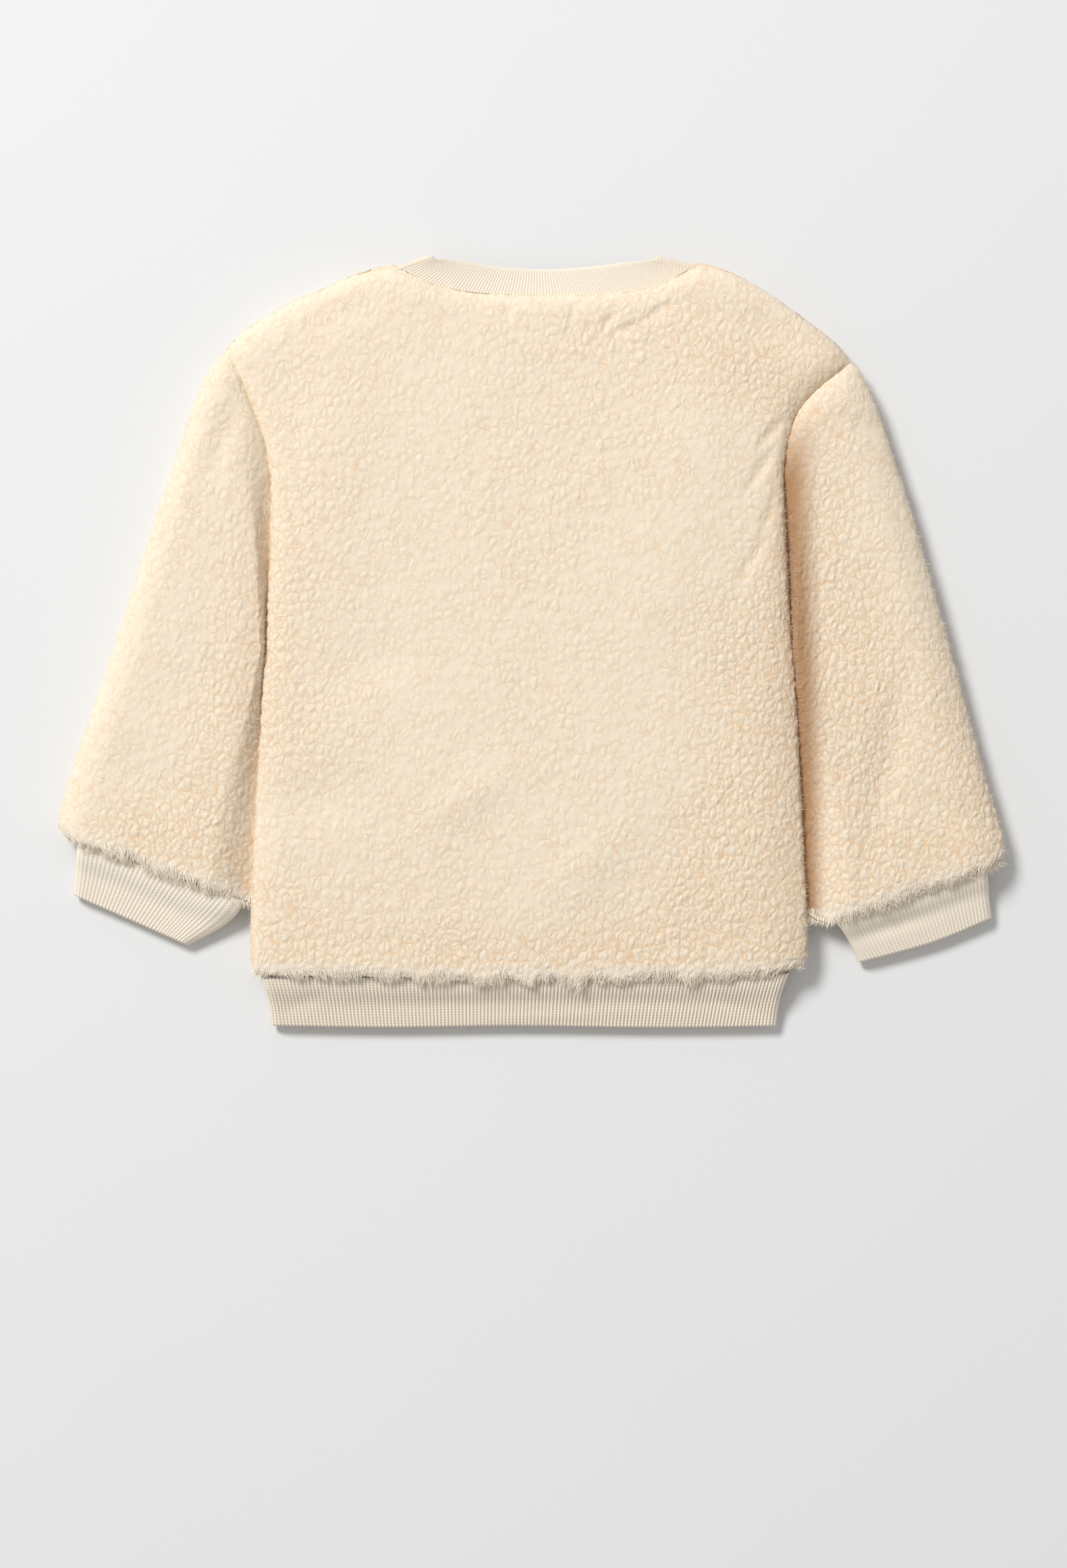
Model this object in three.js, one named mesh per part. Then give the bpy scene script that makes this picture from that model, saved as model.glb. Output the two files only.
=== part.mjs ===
// A toddler's sherpa fleece pullover, laid flat on its front with its back up.
// Millimetres. +X points to the wearer's right sleeve, +Y to the neck and +Z up.
// Every piece is a wall of cloth: an outer and an inner skin of points, joined round their rims.

import * as THREE from 'three';

const { Vector2, Vector3, SplineCurve, BufferGeometry, Float32BufferAttribute } = THREE;
const { clamp, lerp, smoothstep, degToRad } = THREE.MathUtils;

// Driving dimensions of the cloth

const SHERPA_WALL = 9;        // pile fabric: backing knit and pile together
const MID_PLANE = 9;          // height of the seams between the upper and the lower layer
const SEAM_GAP = 0.3;         // clear distance between two pieces that are sewn together
const BODY_HOLLOW = 3;        // the most that the back stands off the front
const SLEEVE_HOLLOW = 2.2;    // the most that a sleeve's two layers stand apart
const ARMHOLE_GAP = 0.45;     // a sleeve's first ring from the armhole, where their facets slant
const ARMHOLE_TUCK = 1.5;     // a sleeve's inner skin stops this far short of the armhole
const SIDE_CLEAR = 0.6;       // a sleeve lies this far from the body's side
const FUR_LIP = 5;            // the pile overhangs the hem and the cuffs by this much
const NECK_LIP = 2.5;         // the pile overhangs the collar by this much
const NECK_FADE = 0.16;       // share of the neckline in which that lip grows from the shoulder seam
const RIB_WALL = 2.8;         // rib knit folded double
const RIB_HOLLOW = 1.2;       // slit inside a flattened rib band
const RIB_PITCH = 1.75;       // one rib and the groove beside it
const RIB_RELIEF = 0.5;       // depth of that groove
const RIB_NOSE = 5;           // a rib band's folded side rounds over within this width
const SLIT_MARGIN = 5;        // a sleeve's slit ends this far inside its folded sides

// Outline of the body as it lies, from the hem up to the shoulder tips

const BODY_SIDES = [
  { place: 'hem corner', leftX: -133.5, leftY: -163, rightX: 130.5, rightY: -160 },
  { place: 'above hem', leftX: -137, leftY: -152, rightX: 134.6, rightY: -148 },
  { place: 'hip', leftX: -135.2, leftY: -95, rightX: 132.3, rightY: -95 },
  { place: 'waist', leftX: -132, leftY: -35, rightX: 129.5, rightY: -35 },
  { place: 'underarm', leftX: -129, leftY: 18, rightX: 126.2, rightY: 18 },
  { place: 'low armhole', leftX: -127.4, leftY: 68, rightX: 123.7, rightY: 68 },
  { place: 'mid armhole', leftX: -129.6, leftY: 92, rightX: 125, rightY: 94 },
  { place: 'high armhole', leftX: -137.5, leftY: 117, rightX: 133, rightY: 115 },
  { place: 'shoulder tip', leftX: -149, leftY: 143, rightX: 156.5, rightY: 136 },
];
const UNDERARM = 0.5;         // share of a side, from the hem up, at which the armhole starts

const HEM_EDGE = [
  { place: 'left quarter', x: -80, y: -164 },
  { place: 'left of middle', x: -28, y: -165.5 },
  { place: 'right of middle', x: 45, y: -165 },
  { place: 'right quarter', x: 95, y: -163.5 },
];

const SHOULDERS = [
  { place: 'near the tip', leftX: -141, leftY: 151.4, rightX: 149.3, rightY: 145.2 },
  { place: 'outer', leftX: -128, leftY: 159.6, rightX: 136.1, rightY: 155.6 },
  { place: 'middle', leftX: -114.7, leftY: 167.2, rightX: 122.9, rightY: 165.2 },
  { place: 'inner', leftX: -101.5, leftY: 172.4, rightX: 109.7, rightY: 173.8 },
  { place: 'near the neck', leftX: -85, leftY: 179.4, rightX: 96.5, rightY: 180.2 },
  { place: 'neck point', leftX: -68.5, leftY: 182.2, rightX: 82, rightY: 183.2 },
];

const BACK_NECK = [
  { place: 'left', x: -53, y: 175.5 },
  { place: 'left curve', x: -37.5, y: 171.2 },
  { place: 'left of middle', x: -14, y: 168.7 },
  { place: 'right of middle', x: 31.5, y: 168.4 },
  { place: 'right curve', x: 56, y: 171.6 },
  { place: 'right', x: 69, y: 176.2 },
];

const FRONT_NECK = [
  { place: 'left', x: -62, y: 163 },
  { place: 'left curve', x: -45, y: 142 },
  { place: 'left of middle', x: -20, y: 129 },
  { place: 'right of middle', x: 34, y: 129 },
  { place: 'right curve', x: 58, y: 142 },
  { place: 'right', x: 75, y: 163 },
];

// The collar's free edge round the neck opening, between its two folds at the shoulders

const COLLAR_FOLDS = { leftX: -47, leftY: 186.8, rightX: 59, rightY: 186 };
const COLLAR_BACK_EDGE = [
  { place: 'left', x: -36, y: 186.2 },
  { place: 'left of middle', x: -18, y: 183.4 },
  { place: 'middle', x: 6, y: 181.9 },
  { place: 'right of middle', x: 30.5, y: 183.3 },
  { place: 'right', x: 47, y: 185.2 },
];
const COLLAR_FRONT_EDGE = [
  { place: 'left', x: -46, y: 169 },
  { place: 'left curve', x: -34, y: 155.5 },
  { place: 'middle', x: 7, y: 143.5 },
  { place: 'right curve', x: 47, y: 155.5 },
  { place: 'right', x: 58.5, y: 169 },
];
const COLLAR_GAP = 1.1;       // from the panels' inner skins to the collar, along curved facets
const COLLAR_STATIONS = [0, 0.5, 1];                   // shares of its width, from the seam
const COLLAR_OUTER_START = 0.14;                       // the outer skin starts here, clear of the lip
const COLLAR_SPREAD = 2;      // the two halves' middles lie this far above and below the mid plane
const COLLAR_DROOP = 2.6;     // the back half's free edge sinks by this much
const COLLAR_INSET = { back: 0.033, front: 0.03 };   // share of each neckline left to the folds

// Outlines of the sleeves: the outer edge from the shoulder down, and the edge of the fur at the wrist

const LEFT_SLEEVE = {
  outer: [
    { place: 'head', x: -156.8, y: 133 },
    { place: 'upper arm', x: -165.5, y: 114 },
    { place: 'above elbow', x: -186.9, y: 51 },
    { place: 'elbow', x: -205.4, y: -6.6 },
    { place: 'forearm', x: -225.2, y: -64.4 },
    { place: 'wrist', x: -231.4, y: -88 },
    { place: 'corner', x: -228, y: -95 },
  ],
  end: [
    { place: 'outer', x: -217, y: -99.2 },
    { place: 'middle', x: -186, y: -110.5 },
    { place: 'inner', x: -158, y: -120.2 },
    { place: 'near the body', x: -143, y: -124.6 },
  ],
  bodyShare: 0.118,           // share of the body's side at which the sleeve ends
  outerRoll: 17,
  innerSlope: 24,
};

const RIGHT_SLEEVE = {
  outer: [
    { place: 'head', x: 160.5, y: 132 },
    { place: 'upper arm', x: 170.8, y: 109 },
    { place: 'above elbow', x: 187, y: 59.4 },
    { place: 'elbow', x: 205.8, y: -6.6 },
    { place: 'forearm', x: 221.6, y: -64.4 },
    { place: 'wrist', x: 231, y: -97 },
    { place: 'corner', x: 229.4, y: -107 },
  ],
  end: [
    { place: 'outer', x: 219, y: -112 },
    { place: 'middle', x: 190, y: -122.4 },
    { place: 'inner', x: 160, y: -132.5 },
    { place: 'near the body', x: 145, y: -136 },
  ],
  bodyShare: 0.092,
  outerRoll: 22,
  innerSlope: 26,
};

// The cuffs' free edges and the stretch of the sleeve's end that each is sewn to

const LEFT_CUFF = {
  from: 0.1, to: 0.93,
  freeEdge: [
    { place: 'outer', x: -224.6, y: -124.4 },
    { place: 'middle', x: -197, y: -136.4 },
    { place: 'inner', x: -168.6, y: -149 },
  ],
};

const RIGHT_CUFF = {
  from: 0.09, to: 0.875,
  freeEdge: [
    { place: 'outer', x: 225.8, y: -135.6 },
    { place: 'middle', x: 196, y: -147.8 },
    { place: 'inner', x: 160, y: -157.6 },
  ],
};

const HEM_BAND = {
  from: 0.008, to: 0.982,
  freeEdge: [
    { place: 'left corner', x: -127.6, y: -188.4 },
    { place: 'left', x: -70, y: -189.2 },
    { place: 'middle', x: -10, y: -188.4 },
    { place: 'right', x: 60, y: -189.2 },
    { place: 'right corner', x: 120.2, y: -188.6 },
  ],
};

// How a rib band comes down from its seam to the surface: the height of its middle along its width

const BAND_DRAPE = [
  { place: 'seam', share: 0, height: MID_PLANE },
  { place: 'below the fur', share: 0.34, height: 7.6 },
  { place: 'slope', share: 0.62, height: 4.6 },
  { place: 'free edge', share: 1, height: RIB_WALL + RIB_HOLLOW / 2 },
];
const BAND_GAP = 0.55;        // from the inner skin that a band is sewn to
const BAND_OUTER_START = 4.4; // the outer skin starts this far along, clear of the overhanging fur

// How the pile fabric thins towards each kind of edge: thickness left there, and width of the roll

const EDGE_KINDS = {
  seam: { left: 0.07, roll: 16 },
  side: { left: 0.5 },
  armhole: { left: 0.42, roll: 15 },
  hem: { left: 0.74, roll: 8 },
  neck: { left: 0.5, roll: 12 },
};
const BODY_SIDE_ROLLS = { leftLow: 17, leftHigh: 15, rightLow: 27, rightHigh: 14 };
const SIDE_ROLL_CHANGE = { from: 0.25, to: 0.6 };      // share of a side in which low turns to high
const UNDERARM_FADE = 0.06;   // share of a side in which its seam turns into the armhole
const NECK_BLEND = { before: 0.03, after: 0.06 };      // share of the width round each neck point
const OPEN_END_HOLLOW = 0.35; // what is left of the body's hollow at the hem and the neck
const BODY_BEND_FADE = 5;     // how close to its sides the body's grid follows their bends
const SLEEVE_BEND_FADE = 2;   // the same for a sleeve
const UNDERARM_BLEND = 0.1;   // share of a sleeve in which its inner edge leaves the armhole seam
const SLOPE_START = 0.12;     // the sleeve's slope has begun by this share of its width at the edge
const SLIT_END = 0.08;        // share of a sleeve's slit in which it closes at either side

// Largest soft folds of the upper layer: middle, direction, half length, half width and depth

const BACK_FOLDS = [
  { name: 'right shoulder trough', x: 122, y: 150, angle: -27, length: 26, width: 7, depth: -1.6 },
  { name: 'left shoulder trough', x: -90, y: 162, angle: 23, length: 24, width: 8, depth: -1.3 },
  { name: 'left blade', x: -98, y: 85, angle: 82, length: 62, width: 24, depth: 1.2 },
  { name: 'right blade', x: 76, y: 72, angle: 80, length: 68, width: 24, depth: 1.3 },
  { name: 'left waist hollow', x: -82, y: -14, angle: 18, length: 30, width: 14, depth: -1.2 },
  { name: 'left hip hollow', x: -106, y: -78, angle: 5, length: 26, width: 15, depth: -1.1 },
  { name: 'waist ridge', x: -30, y: -76, angle: 28, length: 24, width: 9, depth: 0.9 },
  { name: 'hem ridge', x: 28, y: -108, angle: 35, length: 34, width: 12, depth: 0.9 },
];
const RIGHT_SLEEVE_FOLDS = [
  { name: 'forearm trough', x: 173, y: -62, angle: 80, length: 42, width: 8, depth: -2.2 },
  { name: 'head wrinkle', x: 163, y: 104, angle: -24, length: 13, width: 5, depth: -1.4 },
];
const LEFT_SLEEVE_FOLDS = [
  { name: 'forearm hollow', x: -186, y: -70, angle: -40, length: 26, width: 13, depth: -1.2 },
  { name: 'head wrinkle', x: -150, y: 98, angle: 70, length: 20, width: 6, depth: -1.2 },
];

// How finely each piece is cut into facets

const BODY_LOW_ROWS = 10;
const BODY_HIGH_ROWS = 13;
const NECK_FROM = 0.19;       // share of the body's width, from either side, at which the neckline starts
const BACK_GRID = { shoulderSteps: 7, neckSteps: 14 };
const FRONT_GRID = { shoulderSteps: 5, neckSteps: 14 };
const SLEEVE_RINGS = 11;
const SLEEVE_INNER_EDGE = [0.935, 0.97, 0.992];
const BAND_PLAIN_STEPS = 34;
const CUFF_PLAIN_STEPS = 12;
const COLLAR_PLAIN_STEPS = 36;
const COLLAR_LOOP = { half: 0.4, fold: 0.1 };          // how the way round the collar is shared out
const FOLD_STEPS = 4;
const LINE_REACH = 0.01;      // share of a line over which its direction is taken
const FOLD_REACH = 0.05;      // the same where the collar turns over
const LENGTH_STEPS = 64;      // chords that a line's length is summed over

const SHERPA_CREAM = new THREE.MeshStandardMaterial({ color: 0xefdec7, roughness: 0.95, metalness: 0 });
const RIB_CREAM = new THREE.MeshStandardMaterial({ color: 0xe4d8c8, roughness: 0.9, metalness: 0 });

// Lines in the plan: functions from a share, 0 to 1, to a point

const place = (row, side = '') => {
  if (!side) return new Vector2(row.x, row.y);
  return new Vector2(row[`${side}X`], row[`${side}Y`]);
};

function lineThrough(points) {
  const curve = new SplineCurve(points);
  return (share) => curve.getPointAt(clamp(share, 0, 1));
}

const stretch = (line, from, to) => (share) => line(lerp(from, to, share));

// A line beside another, on its right as it runs when the distance is positive.
// The distance may fade to nothing at both ends.
function beside(line, distance, fade = 0) {
  return (share) => {
    const along = line(share + LINE_REACH).sub(line(share - LINE_REACH)).normalize();
    const kept = fade ? smoothstep(Math.min(share, 1 - share), 0, fade) : 1;
    return line(share).add(new Vector2(along.y, -along.x).multiplyScalar(distance * kept));
  };
}

function lengthOf(line) {
  const points = even(LENGTH_STEPS).map(line);
  return points.slice(1).reduce((sum, point, index) => sum + point.distanceTo(points[index]), 0);
}

// Lines laid end to end, each up to its own share of the whole.
function endToEnd(parts) {
  return (share) => {
    let from = 0;
    for (const { line, upTo } of parts) {
      if (share <= upTo) return line((share - from) / (upTo - from));
      from = upTo;
    }
    return parts.at(-1).line(1);
  };
}

// The plan of a piece between its four edge lines: straight from its start to its end,
// bent near its two sides as they bend. A higher fade keeps the bend closer to the side.
function patch({ start, end, near, far, fade }) {
  const bend = (line, along) => line(along).sub(line(0).lerp(line(1), along));
  return (across, along) => start(across).lerp(end(across), along)
    .addScaledVector(bend(near, along), (1 - across) ** fade)
    .addScaledVector(bend(far, along), across ** fade);
}

// Shares from 0 to 1 that crowd together at one end or at both

const crowdBoth = (steps) => sharesOf(steps, (share) => 0.5 - 0.5 * Math.cos(Math.PI * share));
const crowdStart = (steps) => sharesOf(steps, (share) => 1 - Math.cos(Math.PI / 2 * share));
const even = (steps) => sharesOf(steps, (share) => share);

function sharesOf(steps, spread) {
  return Array.from({ length: steps + 1 }, (_, index) => spread(index / steps));
}

// Sections of the cloth

// A rounded roll: 0 at an edge, 1 from the roll's width inwards.
function roll(distance, width) {
  const short = 1 - clamp(distance / width, 0, 1);
  return Math.sqrt(1 - short * short);
}

// A slope that starts and ends gently, for the side of a sleeve that dips below the body's side.
const slope = (distance, width) => smoothstep(distance, -SLOPE_START * width, width);

const thinned = (left, distance, width) => left + (1 - left) * roll(distance, width);

function foldHeight(folds, point) {
  return folds.reduce((height, fold) => {
    const offset = point.clone().sub(place(fold)).rotateAround(new Vector2(), -degToRad(fold.angle));
    const spread = (offset.x / fold.length) ** 2 + (offset.y / fold.width) ** 2;
    return height + fold.depth * Math.exp(-spread);
  }, 0);
}

// Closed walls

const raised = (plan, height) => new Vector3(plan.x, plan.y, height);

function addSkin(faces, rows, closed) {
  const steps = closed ? rows[0].length : rows[0].length - 1;
  for (let row = 0; row + 1 < rows.length; row += 1) {
    for (let step = 0; step < steps; step += 1) {
      const next = (step + 1) % rows[0].length;
      const [a, b] = [rows[row][step], rows[row][next]];
      const [c, d] = [rows[row + 1][next], rows[row + 1][step]];
      const shortFirst = a.distanceToSquared(c) <= b.distanceToSquared(d);
      faces.push(...(shortFirst ? [[a, b, c], [a, c, d]] : [[a, b, d], [b, c, d]]));
    }
  }
}

// Joins two closed loops whose points lie at the given shares of the way round.
function addRim(faces, outer, inner) {
  let [o, i] = [0, 0];
  const share = (loop, index) => (index < loop.shares.length ? loop.shares[index] : 1);
  const point = (loop, index) => loop.points[index % loop.points.length];
  while (o < outer.points.length || i < inner.points.length) {
    const outerTurn = i >= inner.points.length
      || (o < outer.points.length && share(outer, o + 1) <= share(inner, i + 1));
    if (outerTurn) {
      faces.push([point(outer, o), point(inner, i), point(outer, o + 1)]);
      o += 1;
    } else {
      faces.push([point(outer, o), point(inner, i), point(inner, i + 1)]);
      i += 1;
    }
  }
}

const reversed = (faces) => faces.map(([a, b, c]) => [a, c, b]);

// A solid from its triangles, turned so that they face outwards.
function solid(faces) {
  const volume = faces.reduce((sum, [a, b, c]) => sum + a.dot(b.clone().cross(c)), 0);
  const outward = volume < 0 ? reversed(faces) : faces;
  const positions = outward.flat().flatMap((corner) => corner.toArray());
  const geometry = new BufferGeometry();
  geometry.setAttribute('position', new Float32BufferAttribute(positions, 3));
  geometry.computeVertexNormals();
  return geometry;
}

// A wall round a hollow. Each ring has an outer and an inner loop of points.
function tubeWall(rings) {
  const skins = [[], []];
  addSkin(skins[0], rings.map((ring) => ring.outer.points), true);
  addSkin(skins[1], rings.map((ring) => ring.inner.points), true);
  const rims = [[], []];
  addRim(rims[0], rings[0].outer, rings[0].inner);
  addRim(rims[1], rings.at(-1).outer, rings.at(-1).inner);
  return solid([...skins[0], ...reversed(skins[1]), ...rims[0], ...reversed(rims[1])]);
}

// A wall that is open all round. Both skins are grids with the same rows and columns.
function panelWall(outerRows, innerRows) {
  const skins = [[], []];
  addSkin(skins[0], outerRows, false);
  addSkin(skins[1], innerRows, false);
  const border = (rows) => {
    const right = rows.slice(1, -1).map((row) => row.at(-1));
    const left = rows.slice(1, -1).map((row) => row[0]);
    const points = [...rows[0], ...right, ...rows.at(-1).toReversed(), ...left.toReversed()];
    return { points, shares: points.map((_, index) => index / points.length) };
  };
  const rim = [];
  addRim(rim, border(outerRows), border(innerRows));
  return solid([...skins[0], ...reversed(skins[1]), ...rim]);
}

// The body: one outline for both panels, apart from the neckline

const bodySide = (side) => lineThrough(BODY_SIDES.map((row) => place(row, side)));
const bodyEdges = { left: bodySide('left'), right: bodySide('right') };

const hemLine = lineThrough([
  bodyEdges.left(0), ...HEM_EDGE.map((row) => place(row)), bodyEdges.right(0),
]);

const neckPoint = (side) => place(SHOULDERS.at(-1), side);

function neckLine(rows) {
  return lineThrough([neckPoint('left'), ...rows.map((row) => place(row)), neckPoint('right')]);
}

// Where the panel's inner skin ends, under the lip of pile.
const innerNeckLine = (rows) => beside(neckLine(rows), NECK_LIP, NECK_FADE);

function shoulderLine(side) {
  return lineThrough([bodyEdges[side](1), ...SHOULDERS.map((row) => place(row, side))]);
}

function bodyPlan(neck) {
  const leftShoulder = shoulderLine('left');
  const rightShoulder = shoulderLine('right');
  const top = endToEnd([
    { line: leftShoulder, upTo: NECK_FROM },
    { line: neck, upTo: 1 - NECK_FROM },
    { line: (share) => rightShoulder(1 - share), upTo: 1 },
  ]);
  const { left, right } = bodyEdges;
  return patch({ start: hemLine, end: top, near: left, far: right, fade: BODY_BEND_FADE });
}

const bodyRows = [
  ...crowdStart(BODY_LOW_ROWS).map((share) => UNDERARM * share),
  ...crowdStart(BODY_HIGH_ROWS).reverse().slice(1).map((share) => 1 - (1 - UNDERARM) * share),
];

function bodyColumns({ shoulderSteps, neckSteps }) {
  const leftShares = crowdStart(shoulderSteps).map((share) => NECK_FROM * share);
  const neckShares = even(neckSteps).slice(1, -1).map((share) => lerp(NECK_FROM, 1 - NECK_FROM, share));
  return [...leftShares, ...neckShares, ...leftShares.map((share) => 1 - share).reverse()];
}

// What is left of the wall's thickness at a place of the body, from its distance to every edge.
function bodyThickness(plan, across, along) {
  const here = plan(across, along);
  const inArmhole = smoothstep(along, UNDERARM - UNDERARM_FADE, UNDERARM + UNDERARM_FADE);
  const sideLeft = lerp(EDGE_KINDS.side.left, EDGE_KINDS.armhole.left, inArmhole);
  const rolls = BODY_SIDE_ROLLS;
  const high = smoothstep(along, SIDE_ROLL_CHANGE.from, SIDE_ROLL_CHANGE.to);
  const leftRoll = lerp(rolls.leftLow, rolls.leftHigh, high);
  const rightRoll = lerp(rolls.rightLow, rolls.rightHigh, high);
  const left = thinned(sideLeft, here.distanceTo(plan(0, along)), leftRoll);
  const right = thinned(sideLeft, here.distanceTo(plan(1, along)), rightRoll);
  const intoNeck = smoothstep(Math.min(across, 1 - across), NECK_FROM - NECK_BLEND.before,
    NECK_FROM + NECK_BLEND.after);
  const { seam, neck, hem } = EDGE_KINDS;
  const top = thinned(lerp(seam.left, neck.left, intoNeck), here.distanceTo(plan(across, 1)),
    lerp(seam.roll, neck.roll, intoNeck));
  const bottom = thinned(hem.left, here.distanceTo(plan(across, 0)), hem.roll);
  return left * right * top * bottom;
}

// The inner skin stops short of the hem, where the pile overhangs the rib.
function innerPlace(plan, across, along) {
  const hemTuck = FUR_LIP * (1 - smoothstep(along, 0, UNDERARM));
  const length = plan(across, 0).distanceTo(plan(across, 1));
  return plan(across, along + hemTuck / length);
}

function bodyGap(across, along) {
  const flatDome = (share) => 1 - (2 * share - 1) ** 4;
  return SEAM_GAP + BODY_HOLLOW * flatDome(across) * Math.max(flatDome(along), OPEN_END_HOLLOW);
}

// One panel: side +1 is the back, above the mid plane, and -1 the front, resting on the surface.
function bodyPanel(neckRows, grid, side, folds) {
  const acrossShares = bodyColumns(grid);
  const plan = bodyPlan(neckLine(neckRows));
  const innerPlan = bodyPlan(innerNeckLine(neckRows));
  const inner = [];
  const outer = [];
  for (const along of bodyRows) {
    inner.push(acrossShares.map((across) => {
      const height = MID_PLANE + side * bodyGap(across, along) / 2;
      return raised(innerPlace(innerPlan, across, along), height);
    }));
    outer.push(acrossShares.map((across) => {
      const here = plan(across, along);
      const left = bodyThickness(plan, across, along);
      const base = MID_PLANE + side * bodyGap(across, along) / 2;
      const wall = side > 0 ? SHERPA_WALL + foldHeight(folds, here) : base;
      return raised(here, base + side * wall * left);
    }));
  }
  return panelWall(outer, inner);
}

// The sleeves: flattened tubes from the armhole to the wrist

const sleeveAcross = [
  ...bodyRows.filter((share) => share >= UNDERARM).reverse()
    .map((share) => (1 - share) / (1 - UNDERARM)),
  ...SLEEVE_INNER_EDGE,
].sort((a, b) => a - b);

function sleevePlan(table, side) {
  const sign = side === 'right' ? 1 : -1;
  const edge = bodyEdges[side];
  const seam = stretch(beside(edge, sign * ARMHOLE_GAP), 1, UNDERARM);
  const nearBody = stretch(beside(edge, sign * SIDE_CLEAR), UNDERARM, table.bodyShare);
  const underarm = seam(1);
  const inner = (share) => nearBody(share).lerp(underarm, 1 - smoothstep(share, 0, UNDERARM_BLEND));
  const outer = lineThrough([seam(0), ...table.outer.map((row) => place(row))]);
  const wrist = lineThrough([outer(1), ...table.end.map((row) => place(row)), inner(1)]);
  return patch({ start: seam, end: wrist, near: outer, far: inner, fade: SLEEVE_BEND_FADE });
}

function sleeveThickness(plan, table, across, along) {
  const here = plan(across, along);
  const { armhole, hem } = EDGE_KINDS;
  return roll(here.distanceTo(plan(0, along)), table.outerRoll)
    * slope(here.distanceTo(plan(1, along)), table.innerSlope)
    * thinned(armhole.left, here.distanceTo(plan(across, 0)), armhole.roll)
    * thinned(hem.left, here.distanceTo(plan(across, 1)), hem.roll);
}

// A loop over the top of a flattened tube and back underneath.
function flatLoop(shares, pointAt) {
  const under = shares.slice(1, -1).reverse();
  return {
    points: [...shares.map((share) => pointAt(share, 1)), ...under.map((share) => pointAt(share, -1))],
    shares: [...shares.map((share) => share / 2), ...under.map((share) => 1 - share / 2)],
  };
}

function sleeve(table, plan, folds) {
  const length = plan(0.5, 0).distanceTo(plan(0.5, 1));
  const rings = crowdBoth(SLEEVE_RINGS).map((along) => {
    const innerAlong = lerp(ARMHOLE_TUCK / length, 1 - FUR_LIP / length, along);
    const width = plan(0, along).distanceTo(plan(1, along));
    const margin = SLIT_MARGIN / width;
    const outer = flatLoop(sleeveAcross, (across, layer) => {
      const here = plan(across, along);
      const left = sleeveThickness(plan, table, across, along);
      const fold = layer > 0 ? foldHeight(folds, here) : 0;
      const wall = layer > 0 ? SHERPA_WALL + SLEEVE_HOLLOW / 2 + fold : MID_PLANE;
      return raised(here, MID_PLANE + layer * wall * left);
    });
    const inner = flatLoop(sleeveAcross, (across, layer) => {
      const slit = SEAM_GAP + SLEEVE_HOLLOW * 4 * across * (1 - across);
      const closing = roll(Math.min(across, 1 - across), SLIT_END);
      const here = plan(lerp(margin, 1 - margin, across), innerAlong);
      return raised(here, MID_PLANE + layer * closing * slit / 2);
    });
    return { outer, inner };
  });
  return tubeWall(rings);
}

// Rib bands: flattened tubes that leave a seam and come down to the surface, ribbed on top

function drapeHeight(share) {
  const next = BAND_DRAPE.findIndex((row) => row.share >= share);
  if (next <= 0) return BAND_DRAPE[0].height;
  const [from, to] = [BAND_DRAPE[next - 1], BAND_DRAPE[next]];
  return lerp(from.height, to.height, (share - from.share) / (to.share - from.share));
}

function ribBand(seam, free, plainSteps) {
  const width = seam(0.5).distanceTo(free(0.5));
  const ribs = Math.round(free(0).distanceTo(free(1)) / RIB_PITCH);
  const ribShares = even(2 * ribs);
  const plainShares = crowdBoth(plainSteps);
  const rings = BAND_DRAPE.map(({ share }) => {
    const outerShare = Math.max(share, BAND_OUTER_START / width);
    const line = (at, across) => seam(across).lerp(free(across), at);
    const span = line(share, 0).distanceTo(line(share, 1));
    const nose = (across, wide) => roll(Math.min(across, 1 - across) * span, wide);
    const outerPoint = (across, layer, groove) => {
      const wall = RIB_HOLLOW / 2 + RIB_WALL - groove;
      const height = drapeHeight(outerShare) + layer * wall * nose(across, RIB_NOSE);
      return raised(line(outerShare, across), height);
    };
    const under = plainShares.slice(1, -1).reverse();
    const outer = {
      points: [
        ...ribShares.map((across, index) => outerPoint(across, 1, index % 2 ? 0 : RIB_RELIEF)),
        ...under.map((across) => outerPoint(across, -1, 0)),
      ],
      shares: [...ribShares.map((across) => across / 2), ...under.map((across) => 1 - across / 2)],
    };
    const margin = (RIB_WALL + RIB_HOLLOW / 2) / span;
    const inner = flatLoop(plainShares, (across, layer) => {
      const here = line(share, lerp(margin, 1 - margin, across));
      return raised(here, drapeHeight(share) + layer * RIB_HOLLOW / 2 * nose(across, RIB_NOSE));
    });
    return { outer, inner };
  });
  return tubeWall(rings);
}

// The line along which a band is sewn on, just clear of the inner skin that it meets.
function bandSeam(plan, along, band, gapAlong) {
  return (across) => plan(lerp(band.from, band.to, across), along + gapAlong);
}

function hemBand() {
  const plan = bodyPlan(neckLine(BACK_NECK));
  const length = plan(0.5, 0).distanceTo(plan(0.5, 1));
  const seam = bandSeam(plan, FUR_LIP / length, HEM_BAND, -BAND_GAP / length);
  const free = lineThrough(HEM_BAND.freeEdge.map((row) => place(row)));
  return ribBand(seam, free, BAND_PLAIN_STEPS);
}

function cuff(table, plan) {
  const length = plan(0.5, 0).distanceTo(plan(0.5, 1));
  const seam = bandSeam(plan, 1 - FUR_LIP / length, table, BAND_GAP / length);
  const free = lineThrough(table.freeEdge.map((row) => place(row)));
  return ribBand(seam, free, CUFF_PLAIN_STEPS);
}

// The collar: one ring of rib, its back half above its front half, turning over at the shoulders

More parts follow.
